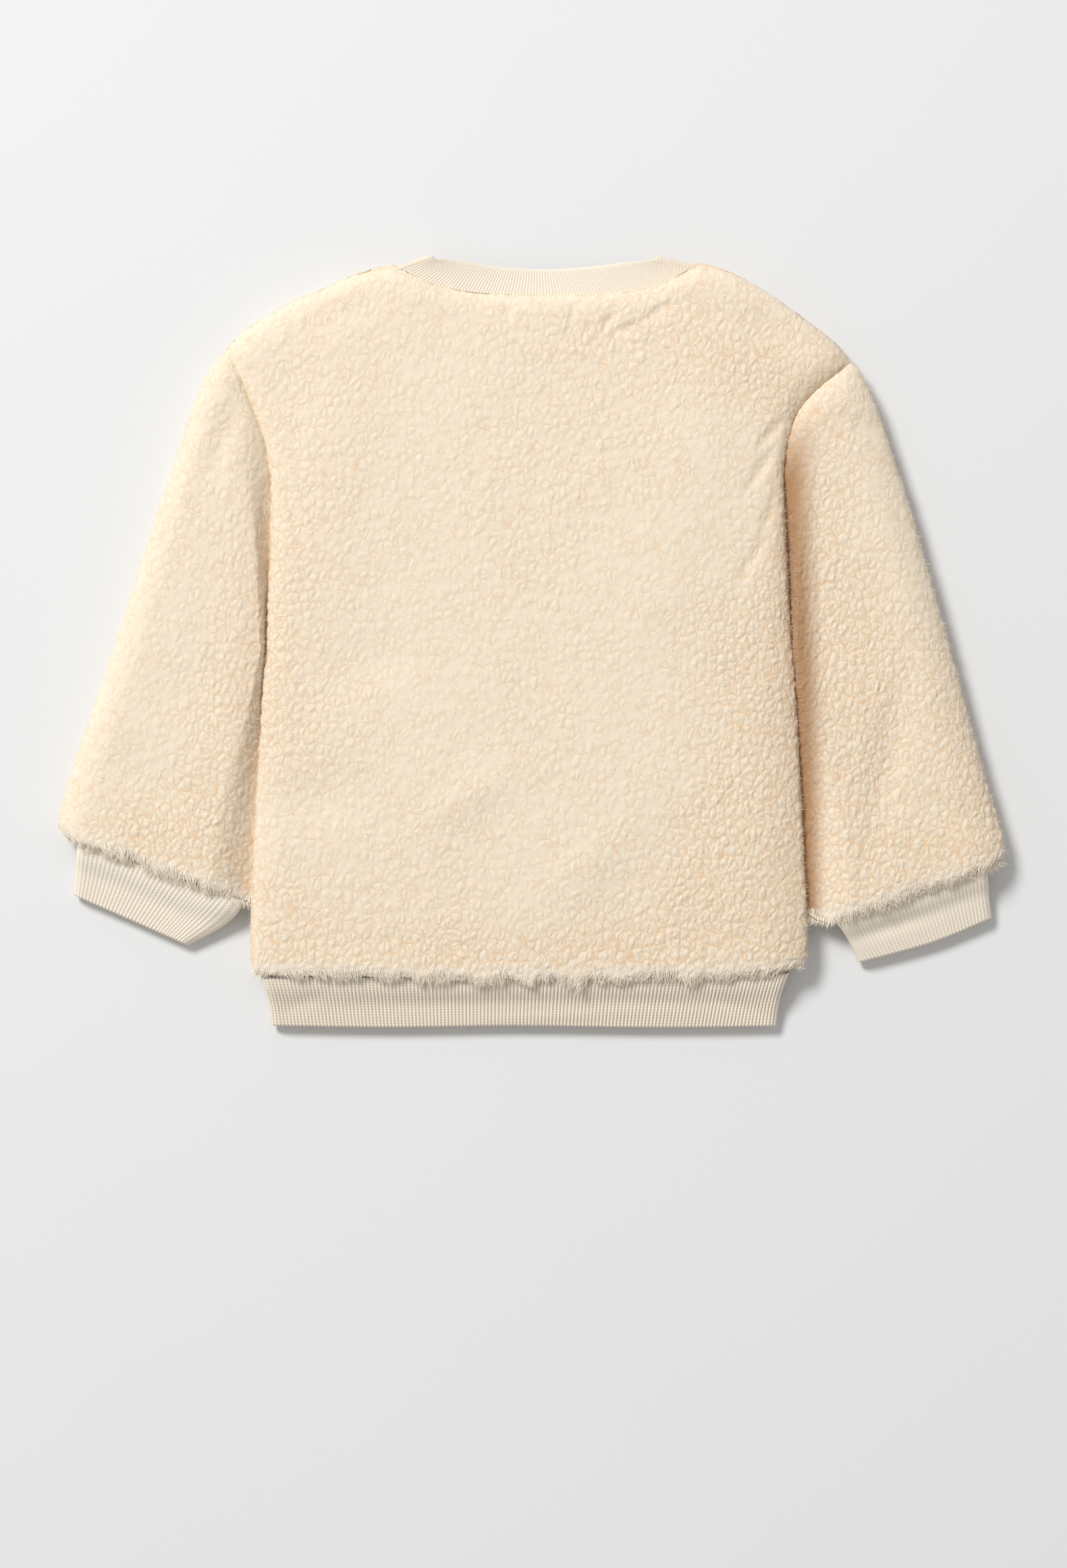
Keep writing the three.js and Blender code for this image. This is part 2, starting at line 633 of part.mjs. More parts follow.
function collarRing(share, outerShare) {
  const fold = (side) => place(COLLAR_FOLDS, side);
  const edgeLine = (rows) => lineThrough([fold('left'), ...rows.map((row) => place(row)), fold('right')]);
  const seamOf = (rows, inset) =>
    stretch(beside(innerNeckLine(rows), -COLLAR_GAP), inset, 1 - inset);
  const backSeam = seamOf(BACK_NECK, COLLAR_INSET.back);
  const frontSeam = seamOf(FRONT_NECK, COLLAR_INSET.front);
  const backEdge = edgeLine(COLLAR_BACK_EDGE);
  const frontEdge = edgeLine(COLLAR_FRONT_EDGE);
  const along = (seam, edge, at) => (across) => seam(across).lerp(edge(across), at);
  const sections = (at) => {
    const back = along(backSeam, backEdge, at);
    const front = along(frontSeam, frontEdge, at);
    const drop = (across) => COLLAR_DROOP * at * Math.sin(Math.PI * across);
    const beyond = (line, end, before) => line(end).sub(line(before)).normalize();
    const outward = (end, before) => beyond(back, end, before).add(beyond(front, end, before)).normalize();
    const leftward = outward(0, FOLD_REACH);
    const rightward = outward(1, 1 - FOLD_REACH);
    return { back, front, drop, leftward, rightward };
  };
  return { outer: sections(outerShare), inner: sections(share) };
}

// Once round the collar: along the back, over the right fold, back along the front, over the left fold.
function collarLoop(section, offset, backShares, frontShares, groove) {
  const points = [];
  const shares = [];
  const put = (plan, height, share) => {
    points.push(raised(plan, height));
    shares.push(share);
  };
  const spread = COLLAR_SPREAD + offset;
  const { half, fold } = COLLAR_LOOP;
  const sunk = (index) => (index % 2 ? 0 : groove);
  // A fold is a half turn. Its plan moves only while it is below the mid plane.
  const turnOver = (from, to, outward, side, firstShare) => {
    for (let step = 1; step < FOLD_STEPS; step += 1) {
      const angle = Math.PI * step / FOLD_STEPS;
      const moved = clamp(2 * step / FOLD_STEPS - (side > 0 ? 1 : 0), 0, 1);
      const plan = from.clone().lerp(to, moved).addScaledVector(outward, spread * Math.sin(angle));
      put(plan, MID_PLANE + side * spread * Math.cos(angle), firstShare + fold * step / FOLD_STEPS);
    }
  };
  backShares.forEach((across, index) => {
    put(section.back(across), MID_PLANE + spread - sunk(index) - section.drop(across), half * across);
  });
  turnOver(section.back(1), section.front(1), section.rightward, 1, half);
  frontShares.toReversed().forEach((across, index) => {
    put(section.front(across), MID_PLANE - spread + sunk(index), half + fold + half * (1 - across));
  });
  turnOver(section.front(0), section.back(0), section.leftward, -1, 2 * half + fold);
  return { points, shares };
}

function collar() {
  const ribShares = (rows) => even(2 * Math.round(lengthOf(neckLine(rows)) / RIB_PITCH));
  const backRibs = ribShares(BACK_NECK);
  const frontRibs = ribShares(FRONT_NECK);
  const plain = even(COLLAR_PLAIN_STEPS);
  const rings = COLLAR_STATIONS.map((share) => {
    const { outer, inner } = collarRing(share, Math.max(share, COLLAR_OUTER_START));
    return {
      outer: collarLoop(outer, RIB_WALL / 2, backRibs, frontRibs, RIB_RELIEF),
      inner: collarLoop(inner, -RIB_WALL / 2, plain, plain, 0),
    };
  });
  return tubeWall(rings);
}

// The garment

const pullover = new THREE.Group();

function addPiece(name, geometry, material) {
  const piece = new THREE.Mesh(geometry, material);
  piece.name = name;
  pullover.add(piece);
}

const leftSleevePlan = sleevePlan(LEFT_SLEEVE, 'left');
const rightSleevePlan = sleevePlan(RIGHT_SLEEVE, 'right');

addPiece('back_panel', bodyPanel(BACK_NECK, BACK_GRID, 1, BACK_FOLDS), SHERPA_CREAM);
addPiece('front_panel', bodyPanel(FRONT_NECK, FRONT_GRID, -1, []), SHERPA_CREAM);
addPiece('sleeve_left', sleeve(LEFT_SLEEVE, leftSleevePlan, LEFT_SLEEVE_FOLDS), SHERPA_CREAM);
addPiece('sleeve_right', sleeve(RIGHT_SLEEVE, rightSleevePlan, RIGHT_SLEEVE_FOLDS), SHERPA_CREAM);
addPiece('cuff_left', cuff(LEFT_CUFF, leftSleevePlan), RIB_CREAM);
addPiece('cuff_right', cuff(RIGHT_CUFF, rightSleevePlan), RIB_CREAM);
addPiece('hem_band', hemBand(), RIB_CREAM);
addPiece('collar', collar(), RIB_CREAM);

export default pullover;
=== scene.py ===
"""Looks of a toddler's sherpa pullover that lies flat with its back up.

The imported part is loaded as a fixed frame, and each of its pieces is dressed in pile or in rib knit.
The plan tables are in millimetres and repeat the part's own cut. Meshes are made in metres.
"""

import itertools
import math

import bpy
import numpy as np
from bpy.props import FloatProperty, FloatVectorProperty, IntProperty, PointerProperty
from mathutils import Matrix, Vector


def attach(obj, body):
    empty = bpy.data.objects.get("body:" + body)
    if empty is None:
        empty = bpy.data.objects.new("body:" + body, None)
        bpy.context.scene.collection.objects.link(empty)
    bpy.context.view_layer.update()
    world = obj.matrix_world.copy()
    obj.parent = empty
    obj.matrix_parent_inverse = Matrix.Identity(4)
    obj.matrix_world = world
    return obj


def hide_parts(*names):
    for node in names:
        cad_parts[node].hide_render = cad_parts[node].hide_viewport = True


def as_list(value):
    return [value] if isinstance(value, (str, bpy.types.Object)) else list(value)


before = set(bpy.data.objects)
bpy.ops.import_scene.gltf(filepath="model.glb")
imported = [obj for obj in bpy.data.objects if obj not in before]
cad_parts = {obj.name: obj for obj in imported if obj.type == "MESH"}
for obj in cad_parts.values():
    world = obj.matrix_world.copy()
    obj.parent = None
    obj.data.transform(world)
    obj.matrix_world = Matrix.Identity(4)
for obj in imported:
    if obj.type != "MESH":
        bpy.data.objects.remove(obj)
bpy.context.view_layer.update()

bl_info = {
    "name": "Sherpa pullover",
    "version": (1, 0, 0),
    "blender": (4, 5, 0),
    "location": "View3D > Sidebar > Pullover",
    "description": "Dresses a flat-laid pullover in sherpa pile and rib knit",
    "category": "Add Mesh",
}

BODY = "root"
MM = 0.001

# Cloth sizes, in millimetres

SHERPA_WALL = 9.0        # pile fabric: backing knit and pile together
MID_PLANE = 9.0          # height of the seams between the upper and the lower layer
SEAM_GAP = 0.3
BODY_HOLLOW = 3.0
SLEEVE_HOLLOW = 2.2
ARMHOLE_TUCK = 1.0       # the sleeves run on under the body's edge by this much
SIDE_TUCK = 1.6
FUR_LIP = 5.0            # the pile overhangs the hem and the cuffs by this much
NECK_LIP = 2.5
NECK_FADE = 0.16
RIB_WALL = 2.8           # rib knit folded double
RIB_HOLLOW = 1.2
RIB_NOSE = 5.0
SLIT_MARGIN = 0.05       # share of a sleeve's width
BAND_GAP = 0.55
COLLAR_GAP = 1.1
COLLAR_SPREAD = 2.0
COLLAR_DROOP = 2.6
FLOOR_CLEAR = 0.05       # nothing of the cloth comes lower than this

# Body outline: left x, left y, right x, right y, from the hem corner up to the shoulder tip

BODY_SIDES = (
    (-133.5, -163, 130.5, -160),
    (-137, -152, 134.6, -148),
    (-135.2, -95, 132.3, -95),
    (-132, -35, 129.5, -35),
    (-129, 18, 126.2, 18),
    (-127.4, 68, 123.7, 68),
    (-129.6, 92, 125, 94),
    (-137.5, 117, 133, 115),
    (-149, 143, 156.5, 136),
)
UNDERARM = 0.5           # share of a side at which the armhole starts
HEM_EDGE = ((-80, -164), (-28, -165.5), (45, -165), (95, -163.5))

# Shoulder seams: left x, left y, right x, right y, from the tip to the neck point

SHOULDERS = (
    (-141, 151.4, 149.3, 145.2),
    (-128, 159.6, 136.1, 155.6),
    (-114.7, 167.2, 122.9, 165.2),
    (-101.5, 172.4, 109.7, 173.8),
    (-85, 179.4, 96.5, 180.2),
    (-68.5, 182.2, 82, 183.2),
)
NECK_FROM = 0.19         # share of the body's width at which the neckline starts
BACK_NECK = ((-53, 175.5), (-37.5, 171.2), (-14, 168.7), (31.5, 168.4), (56, 171.6), (69, 176.2))
FRONT_NECK = ((-62, 163), (-45, 142), (-20, 129), (34, 129), (58, 142), (75, 163))

# The collar's free edge, from its left fold to its right fold

COLLAR_BACK_EDGE = (
    (-47, 186.8), (-36, 186.2), (-18, 183.4), (6, 181.9), (30.5, 183.3), (47, 185.2), (59, 186),
)
COLLAR_FRONT_EDGE = (
    (-47, 186.8), (-46, 169), (-34, 155.5), (7, 143.5), (47, 155.5), (58.5, 169), (59, 186),
)
COLLAR_INSET = {"back": 0.033, "front": 0.03}
COLLAR_OUTER_START = -0.3
COLLAR_FOLD_STEPS = 12
COLLAR_FOLD_SHADE = 0.5   # painted shade: the collar's folded ends are painted a little deeper in colour
COLLAR_RELIEF = 0.5      # the collar's ribs are drawn flatter than the bands'

# Sleeves: the outer edge from the shoulder down, and the edge of the pile at the wrist. Each also has the
# strength of the shade painted on it beside the body, and that shade's width at the armhole and at the wrist

SLEEVES = {
    "left": {
        "outer": ((-156.8, 133), (-165.5, 114), (-186.9, 51), (-205.4, -6.6), (-225.2, -64.4),
                  (-231.4, -88), (-228, -95)),
        "end": ((-217, -99.2), (-186, -110.5), (-158, -120.2), (-143, -124.6)),
        "body_share": 0.118, "outer_roll": 17.0, "inner_slope": 24.0, "sign": -1,
        "hollow": 0.14, "hollow_reach": (20.0, 20.0),
    },
    "right": {
        "outer": ((160.5, 132), (170.8, 109), (187, 59.4), (205.8, -6.6), (221.6, -64.4),
                  (231, -97), (229.4, -107)),
        "end": ((219, -112), (190, -122.4), (160, -132.5), (145, -136)),
        "body_share": 0.092, "outer_roll": 22.0, "inner_slope": 26.0, "sign": 1,
        "hollow": 0.92, "hollow_reach": (20.0, 10.0),
    },
}

# Rib bands: the stretch of the pile's edge that each is sewn to, and its free edge

CUFFS = {
    "left": {"sewn": (0.1, 0.94), "free": ((-224.6, -124.4), (-197, -136.4), (-168.6, -149)),
             "bow": (0.0, -0.3), "relief": 0.6},
    "right": {"sewn": (0.09, 0.875), "free": ((225.8, -135.6), (196, -147.8), (160, -157.6)),
              "bow": (-0.1, 0.12), "relief": 0.6},
}
HEM = {
    "sewn": (0.008, 0.982),
    "free": ((-127.6, -188.4), (-70, -189.2), (-10, -188.4), (60, -189.2), (120.2, -188.6)),
    "bow": (0.22, 0.22), "relief": 1.2,
}
BAND_DRAPE = ((0, 11.4), (0.34, 9.4), (0.62, 5.9), (1, 3.6))   # share of a band's width, its height
BAND_OUTER_START = 4.4
BOW_REACH = 8            # a band's sides bow in or out over their last stretch
DRAPE_STEPS = 200

# How the pile thins towards an edge: share left there, and width of the roll

SEAM_EDGE = (0.07, 16.0)
SIDE_LEFT = 0.5
ARMHOLE_EDGE = (0.42, 15.0)
HEM_ROLL = (0.74, 8.0)
NECK_ROLL = (0.5, 12.0)
SIDE_ROLLS = {"left": (17.0, 15.0), "right": (27.0, 14.0)}    # low on the body, high on the body
SLOPE_START = 0.18
DIP_LEVELS, DIP_LEFT = (40.0, 112.0), 0.16    # the sleeve dips beside the armhole below these heights

# Painted shade beside the body: a deeper colour on the sleeves where the body's edge shades them, and on the
# body's right side as it rounds away from the light

PAINTED_SHADE_LEVELS, PAINTED_SHADE_START = (75.0, 118.0), 0.15    # it fades out between these heights
SIDE_SHADE, SIDE_SHADE_REACH = 0.1, 30.0             # painted shade on the body's right side, over this reach
EDGE_STEPS = 150

# Soft folds: x, y, direction in degrees, half length, half width, height (a trough is below 0)

BACK_FOLDS = (
    (122, 150, -27, 26, 7, -1.6),      # right shoulder
    (-90, 162, 23, 24, 8, -1.3),       # left shoulder
    (-98, 85, 82, 62, 24, 1.2),        # left blade
    (76, 72, 80, 68, 24, 1.3),         # right blade
    (-82, -14, 18, 30, 14, -1.2),      # left waist
    (-106, -78, 5, 26, 15, -1.1),      # left hip
    (-30, -76, 28, 24, 9, 0.9),        # waist
    (28, -108, 35, 34, 12, 0.9),       # above the hem
    (117, 101, 48, 9, 2.4, -1.5),      # pulls beside the right armhole
    (112, 84, 58, 12, 2.6, -1.2),
    (116, 62, 66, 10, 2.2, -1.0),
    (108, 40, 60, 14, 3.0, -0.9),
    (-118, 96, -62, 12, 3.0, -0.8),    # pulls beside the left armhole
    (-119, 70, -70, 13, 3.2, -0.7),
    (38, 156, 60, 6, 2.2, -1.1),       # puckers under the collar
    (46, 151, 20, 7, 2.4, -0.9),
    (20, 160, 85, 5, 2.0, -0.8),
    (-12, 160, 95, 5, 2.2, -0.7),
    (62, 160, 35, 8, 2.6, -0.8),
)
FRONT_FOLDS = (
    (-70, 60, 75, 40, 6, -1.1),
    (64, 30, 100, 52, 7, -1.3),
    (10, -60, 20, 44, 6, -1.0),
    (-60, -110, -30, 36, 6, -1.2),
    (84, -100, 40, 30, 5, -1.1),
)
SLEEVE_FOLDS = {
    "left": (
        (-186, -70, -40, 26, 13, -1.2),
        (-150, 98, 70, 20, 6, -1.2),
        (-171, 20, 68, 30, 12, 0.7),
    ),
    "right": (
        (173, -62, 80, 42, 8, -1.8),
        (163, 104, -24, 13, 5, -1.4),
        (186, 28, -66, 26, 9, 0.8),
        (206, -84, -20, 20, 8, -0.8),
    ),
}
SLEEVE_UNDER_FOLDS = {
    "left": ((-182, 10, 60, 30, 6, -1.1), (-200, -60, 40, 24, 6, -1.0)),
    "right": ((186, 6, 118, 32, 6, -1.1), (196, -76, 140, 22, 6, -1.0)),
}

# Where the pile is parted into clear pebbles: as the folds, with a strength instead of a height

ROUGH_SPOTS = (
    (118, -80, 90, 110, 36, 0.5),      # right side of the body
    (70, -135, 0, 80, 40, 0.25),       # lower right
    (0, -152, 0, 150, 18, 0.25),       # above the hem
    (-118, -60, 88, 120, 22, 0.15),    # left side of the body
    (165, -40, 100, 110, 30, 0.4),     # right sleeve beside the body
    (215, -70, 107, 70, 16, 0.4),      # right sleeve's outer edge
    (-150, -40, 80, 100, 24, 0.35),    # left sleeve beside the body
    (-190, -95, -20, 50, 16, 0.3),     # left wrist
    (190, -112, 20, 50, 18, 0.35),     # right wrist
    (110, 130, -30, 40, 24, 0.2),      # right shoulder
    (20, 150, 0, 60, 14, 0.15),        # under the collar
)

# Soft folds of the rib bands, in the same columns

BAND_FOLDS = {
    "hem": (
        (-40, -177, 2, 60, 4, -0.5), (60, -176, -2, 46, 4, -0.6), (-110, -176, 24, 16, 4, -0.5),
        (100, -178, -18, 20, 3.5, -0.5), (8, -184, 3, 50, 3, 0.4),
    ),
    "cuff_left": ((-205, -118, -20, 20, 4, -0.3), (-176, -132, -24, 16, 4, -0.4)),
    "cuff_right": ((176, -139, 18, 26, 4.2, -1.5), (210, -126, 20, 14, 4, -0.6)),
}


# Numbers spread over a surface

SHORTEST = 1e-9


def smoothstep(value, low, high):
    share = np.clip((value - low) / (high - low), 0, 1)
    return share * share * (3 - 2 * share)


def mixed(first, second, share):
    return first + (second - first) * share


def roll(distance, width):
    """A rounded roll: 0 at an edge, 1 from the roll's width inwards."""
    short = 1 - np.clip(distance / width, 0, 1)
    return np.sqrt(1 - short * short)


def thinned(left, distance, width):
    return left + (1 - left) * roll(distance, width)


def dome(share):
    """Flat in the middle, falling to 0 at 0 and 1."""
    return 1 - (2 * share - 1) ** DOME_POWER


def apart(first, second):
    return np.linalg.norm(first - second, axis=-1)


def unit(vectors):
    return vectors / np.maximum(np.linalg.norm(vectors, axis=-1, keepdims=True), SHORTEST)


def lifted(plan, height):
    """Points of the plan at their heights."""
    return np.concatenate([plan, np.broadcast_to(height, plan.shape[:-1])[..., None]], -1)


def fold_height(folds, plan):
    height = np.zeros(plan.shape[:-1])
    for x, y, angle, length, width, depth in folds:
        turn = math.radians(angle)
        dx, dy = plan[..., 0] - x, plan[..., 1] - y
        along = dx * math.cos(turn) + dy * math.sin(turn)
        beside_it = dy * math.cos(turn) - dx * math.sin(turn)
        height += depth * np.exp(-(along / length) ** 2 - (beside_it / width) ** 2)
    return height


DOME_POWER = 4
HASH_SEED = (2654435, 97)
HASH_PRIMES = np.array((73856093, 19349663, 83492791), np.uint32)
HASH_MIXERS = (np.uint32(0x2C1B3C6D), np.uint32(0x297A2D39))
HASH_SHIFTS = (np.uint32(15), np.uint32(12))
HASH_RANGE = 2.0 ** 32


def cell_numbers(cells, seed):
    """Three even random numbers for each whole-numbered cell, the same ones each run."""
    keys = cells.astype(np.int64).astype(np.uint32) * HASH_PRIMES
    mix = keys[..., 0] ^ keys[..., 1] ^ keys[..., 2] ^ np.uint32(seed * HASH_SEED[0] + HASH_SEED[1])
    numbers = []
    for _ in range(3):
        for shift, mixer in zip(HASH_SHIFTS, HASH_MIXERS):
            mix = (mix ^ (mix >> shift)) * mixer
        mix = mix ^ (mix >> HASH_SHIFTS[0])
        numbers.append(mix / HASH_RANGE)
    return np.stack(numbers, -1)


def clumps(points, size, seed):
    """How near each point is to its own clump's heart and to the next clump's, and its clump's number."""
    spots = points / size
    home = np.floor(spots)
    nearest = np.full(len(points), np.inf)
    second = nearest.copy()
    own = np.zeros(len(points))
    for step in itertools.product((-1, 0, 1), repeat=3):
        cell = home + step
        heart = cell_numbers(cell, seed)
        gap = np.linalg.norm(cell + heart - spots, axis=1)
        nearer = gap < nearest
        second = np.where(nearer, nearest, np.minimum(second, gap))
        own = np.where(nearer, heart[:, 0], own)
        nearest = np.where(nearer, gap, nearest)
    return nearest, second, own


def drift(points, size, seed):
    """Three smooth random numbers from -1 to 1 that change over the given size."""
    spots = points / size
    home = np.floor(spots)
    part = spots - home
    part = part * part * (3 - 2 * part)
    total = np.zeros((len(points), 3))
    for step in itertools.product((0, 1), repeat=3):
        weight = np.prod(np.where(step, part, 1 - part), axis=1)
        total += weight[:, None] * cell_numbers(home + step, seed)
    return 2 * total - 1


# Lines in the plan: functions from shares, 0 to 1, to points

SPAN_STEPS = 40
SECTION_STEPS = 3000
MEASURE_STEPS = 400
LINE_REACH = 0.01


def line_through(points):
    """A smooth line through the points, by shares of its length."""
    given = np.asarray(points, float)
    padded = np.vstack([given[:1], given, given[-1:]])
    step = np.linspace(0, 1, SPAN_STEPS, endpoint=False)[:, None]
    spans = []
    for before, start, end, after in zip(padded, padded[1:], padded[2:], padded[3:]):
        leave, arrive = (end - before) / 2, (after - start) / 2
        spans.append((2 * start - 2 * end + leave + arrive) * step ** 3
                     + (3 * end - 3 * start - 2 * leave - arrive) * step ** 2 + leave * step + start)
    dense = np.vstack([*spans, given[-1:]])
    lengths = np.r_[0, np.cumsum(apart(dense[1:], dense[:-1]))]
    shares = lengths / lengths[-1]
    return lambda share: np.stack([np.interp(share, shares, dense[:, axis]) for axis in (0, 1)], -1)


def stretch(line, start, end):
    return lambda share: line(mixed(start, end, share))


def beside(line, distance, fade=0):
    """A line on the right of another as it runs. The distance may fade to nothing at both ends."""
    def moved(share):
        share = np.asarray(share, float)
        along = line(share + LINE_REACH) - line(share - LINE_REACH)
        along = along / np.linalg.norm(along, axis=-1, keepdims=True)
        kept = smoothstep(np.minimum(share, 1 - share), 0, fade) if fade else np.ones_like(share)
        across = np.stack([along[..., 1], -along[..., 0]], -1)
        return line(share) + across * (distance * kept)[..., None]
    return moved


def patch(start, end, near, far, fade):
    """A piece's plan between its four edge lines, bent near its two sides as they bend."""
    def bend(line, along):
        return line(along) - mixed(line(0.0), line(1.0), along[..., None])

    def plan(across, along):
        across, along = np.broadcast_arrays(np.asarray(across, float), np.asarray(along, float))
        return (mixed(start(across), end(across), along[..., None])
                + bend(near, along) * ((1 - across) ** fade)[..., None]
                + bend(far, along) * (across ** fade)[..., None])
    return plan


def evenly(section, count, weight=None):
    """Shares at which a section's points lie evenly along it. A larger weight gets more of them."""
    fine = np.linspace(0, 1, SECTION_STEPS)
    steps = apart(section(fine)[1:], section(fine)[:-1])
    if weight is not None:
        steps = steps * weight((fine[1:] + fine[:-1]) / 2)
    lengths = np.r_[0, np.cumsum(steps)]
    return np.interp(np.linspace(0, lengths[-1], count), lengths, fine)


def length_of(section):
    points = section(np.linspace(0, 1, MEASURE_STEPS))
    return apart(points[1:], points[:-1]).sum()


# The body's plan

BODY_BEND_FADE = 5
SLEEVE_BEND_FADE = 2
UNDERARM_FADE = 0.06
UNDERARM_BLEND = 0.1
SIDE_ROLL_CHANGE = (0.25, 0.6)
NECK_BLEND = (0.03, 0.06)
OPEN_END_HOLLOW = 0.35


def columns(rows, side):
    first = 0 if side == "left" else 2
    return [row[first:first + 2] for row in rows]


BODY_EDGES = {side: line_through(columns(BODY_SIDES, side)) for side in ("left", "right")}
HEM_LINE = line_through([BODY_EDGES["left"](0.0), *HEM_EDGE, BODY_EDGES["right"](0.0)])


def neck_line(rows):
    return line_through([SHOULDERS[-1][:2], *rows, SHOULDERS[-1][2:]])


def inner_neck_line(rows):
    return beside(neck_line(rows), NECK_LIP, NECK_FADE)


def shoulder_line(side):
    return line_through([BODY_EDGES[side](1.0), *columns(SHOULDERS, side)])


def body_plan(neck):
    left, right = shoulder_line("left"), shoulder_line("right")

    def top(across):
        share = across[..., None]
        middle = neck(np.clip((across - NECK_FROM) / (1 - 2 * NECK_FROM), 0, 1))
        points = np.where(share < NECK_FROM, left(np.clip(across / NECK_FROM, 0, 1)), middle)
        return np.where(share > 1 - NECK_FROM, right(np.clip((1 - across) / NECK_FROM, 0, 1)), points)

    return patch(HEM_LINE, top, BODY_EDGES["left"], BODY_EDGES["right"], BODY_BEND_FADE)


def body_left(plan, across, along):
    """What is left of the wall's thickness at a place of the body, from its distance to every edge."""
    here = plan(across, along)
    in_armhole = smoothstep(along, UNDERARM - UNDERARM_FADE, UNDERARM + UNDERARM_FADE)
    side_left = mixed(SIDE_LEFT, ARMHOLE_EDGE[0], in_armhole)
    high = smoothstep(along, *SIDE_ROLL_CHANGE)
    left = thinned(side_left, apart(here, plan(0, along)), mixed(*SIDE_ROLLS["left"], high))
    right = thinned(side_left, apart(here, plan(1, along)), mixed(*SIDE_ROLLS["right"], high))
    inward = np.minimum(across, 1 - across)
    into_neck = smoothstep(inward, NECK_FROM - NECK_BLEND[0], NECK_FROM + NECK_BLEND[1])
    top = thinned(mixed(SEAM_EDGE[0], NECK_ROLL[0], into_neck), apart(here, plan(across, 1)),
                  mixed(SEAM_EDGE[1], NECK_ROLL[1], into_neck))
    bottom = thinned(HEM_ROLL[0], apart(here, plan(across, 0)), HEM_ROLL[1])
    return left * right * top * bottom


def body_gap(across, along):
    return SEAM_GAP + BODY_HOLLOW * dome(across) * np.maximum(dome(along), OPEN_END_HOLLOW)


# Meshes from grids of points


class Cloth:
    """Points, faces and per-point values of one piece, joined up from grids."""

    def __init__(self):
        self.points, self.faces, self.values = [], [], {}
        self.count = 0

    def add_grid(self, grid, closed, **values):
        """Adds a grid of rows by columns by 3 and its faces. Returns its point numbers."""
        rows, steps = grid.shape[:2]
        numbers = self.count + np.arange(rows * steps).reshape(rows, steps)
        ahead = np.roll(numbers, -1, axis=1) if closed else numbers[:, 1:]
        here = numbers if closed else numbers[:, :-1]
        quads = np.stack([here[:-1], ahead[:-1], ahead[1:], here[1:]], -1).reshape(-1, 4)
        self.points.append(grid.reshape(-1, 3))
        self.faces.append(quads)
        for name, value in values.items():
            full = np.broadcast_to(value, grid.shape[:2]).reshape(-1)
            self.values.setdefault(name, []).append((self.count, full))
        self.count += rows * steps
        return numbers

    def stitch(self, first, first_shares, second, second_shares):
        """Joins two closed loops of points by triangles, by their shares of the way round."""
        ahead_first = np.r_[first_shares[1:], 1]
        ahead_second = np.r_[second_shares[1:], 1]
        triangles = []
        i = j = 0
        while i < len(first) or j < len(second):
            take_first = j >= len(second) or (i < len(first) and ahead_first[i] <= ahead_second[j])
            a, b = first[i % len(first)], second[j % len(second)]
            if take_first:
                i += 1
                triangles.append((a, b, first[i % len(first)]))
            else:
                j += 1
                triangles.append((a, b, second[j % len(second)]))
        self.faces.append(np.array(triangles))

    def finish(self):
        self.points = np.vstack(self.points)
        for name, parts in self.values.items():
            full = np.zeros(self.count)
            for start, value in parts:
                full[start:start + len(value)] = value
            self.values[name] = full

    def normals(self):
        total = np.zeros_like(self.points)
        for faces in self.faces:
            corners = self.points[faces]
            facing = np.cross(corners[:, 2] - corners[:, 0], corners[:, -1] - corners[:, 1])
            for corner in range(faces.shape[1]):
                for axis in range(3):
                    total[:, axis] += np.bincount(faces[:, corner], facing[:, axis], len(total))
        return unit(total)

    def close_tube(self, outer, outer_shares, inner, inner_shares):
        """Joins a tube's outside to its lining at both ends."""
        self.stitch(outer[-1], outer_shares, inner[0], inner_shares)
        self.stitch(inner[-1], inner_shares, outer[0], outer_shares)
        self.finish()
        self.turn_outwards()

    def note(self, name, outer, values):
        """Gives every point of the outside a value, and 0 to all other points."""
        self.values[name] = np.zeros(self.count)
        self.values[name][outer.ravel()] = values.ravel()

    def turn_outwards(self):
        """Turns every face over if the closed skin faces inwards."""
        volume = 0.0
        for faces in self.faces:
            for corner in range(1, faces.shape[1] - 1):
                a, b, c = (self.points[faces[:, k]] for k in (0, corner, corner + 1))
                volume += np.einsum("ij,ij->", a, np.cross(b, c))
        if volume < 0:
            self.faces = [faces[:, ::-1] for faces in self.faces]


def border(numbers):
    """The loop round an open grid, and each point's share of the way, a quarter for each side."""
    sides = [numbers[0, :-1], numbers[:-1, -1], numbers[-1, :0:-1], numbers[:0:-1, 0]]
    shares = [(quarter + np.arange(len(side)) / len(side)) / 4 for quarter, side in enumerate(sides)]
    return np.concatenate(sides), np.concatenate(shares)


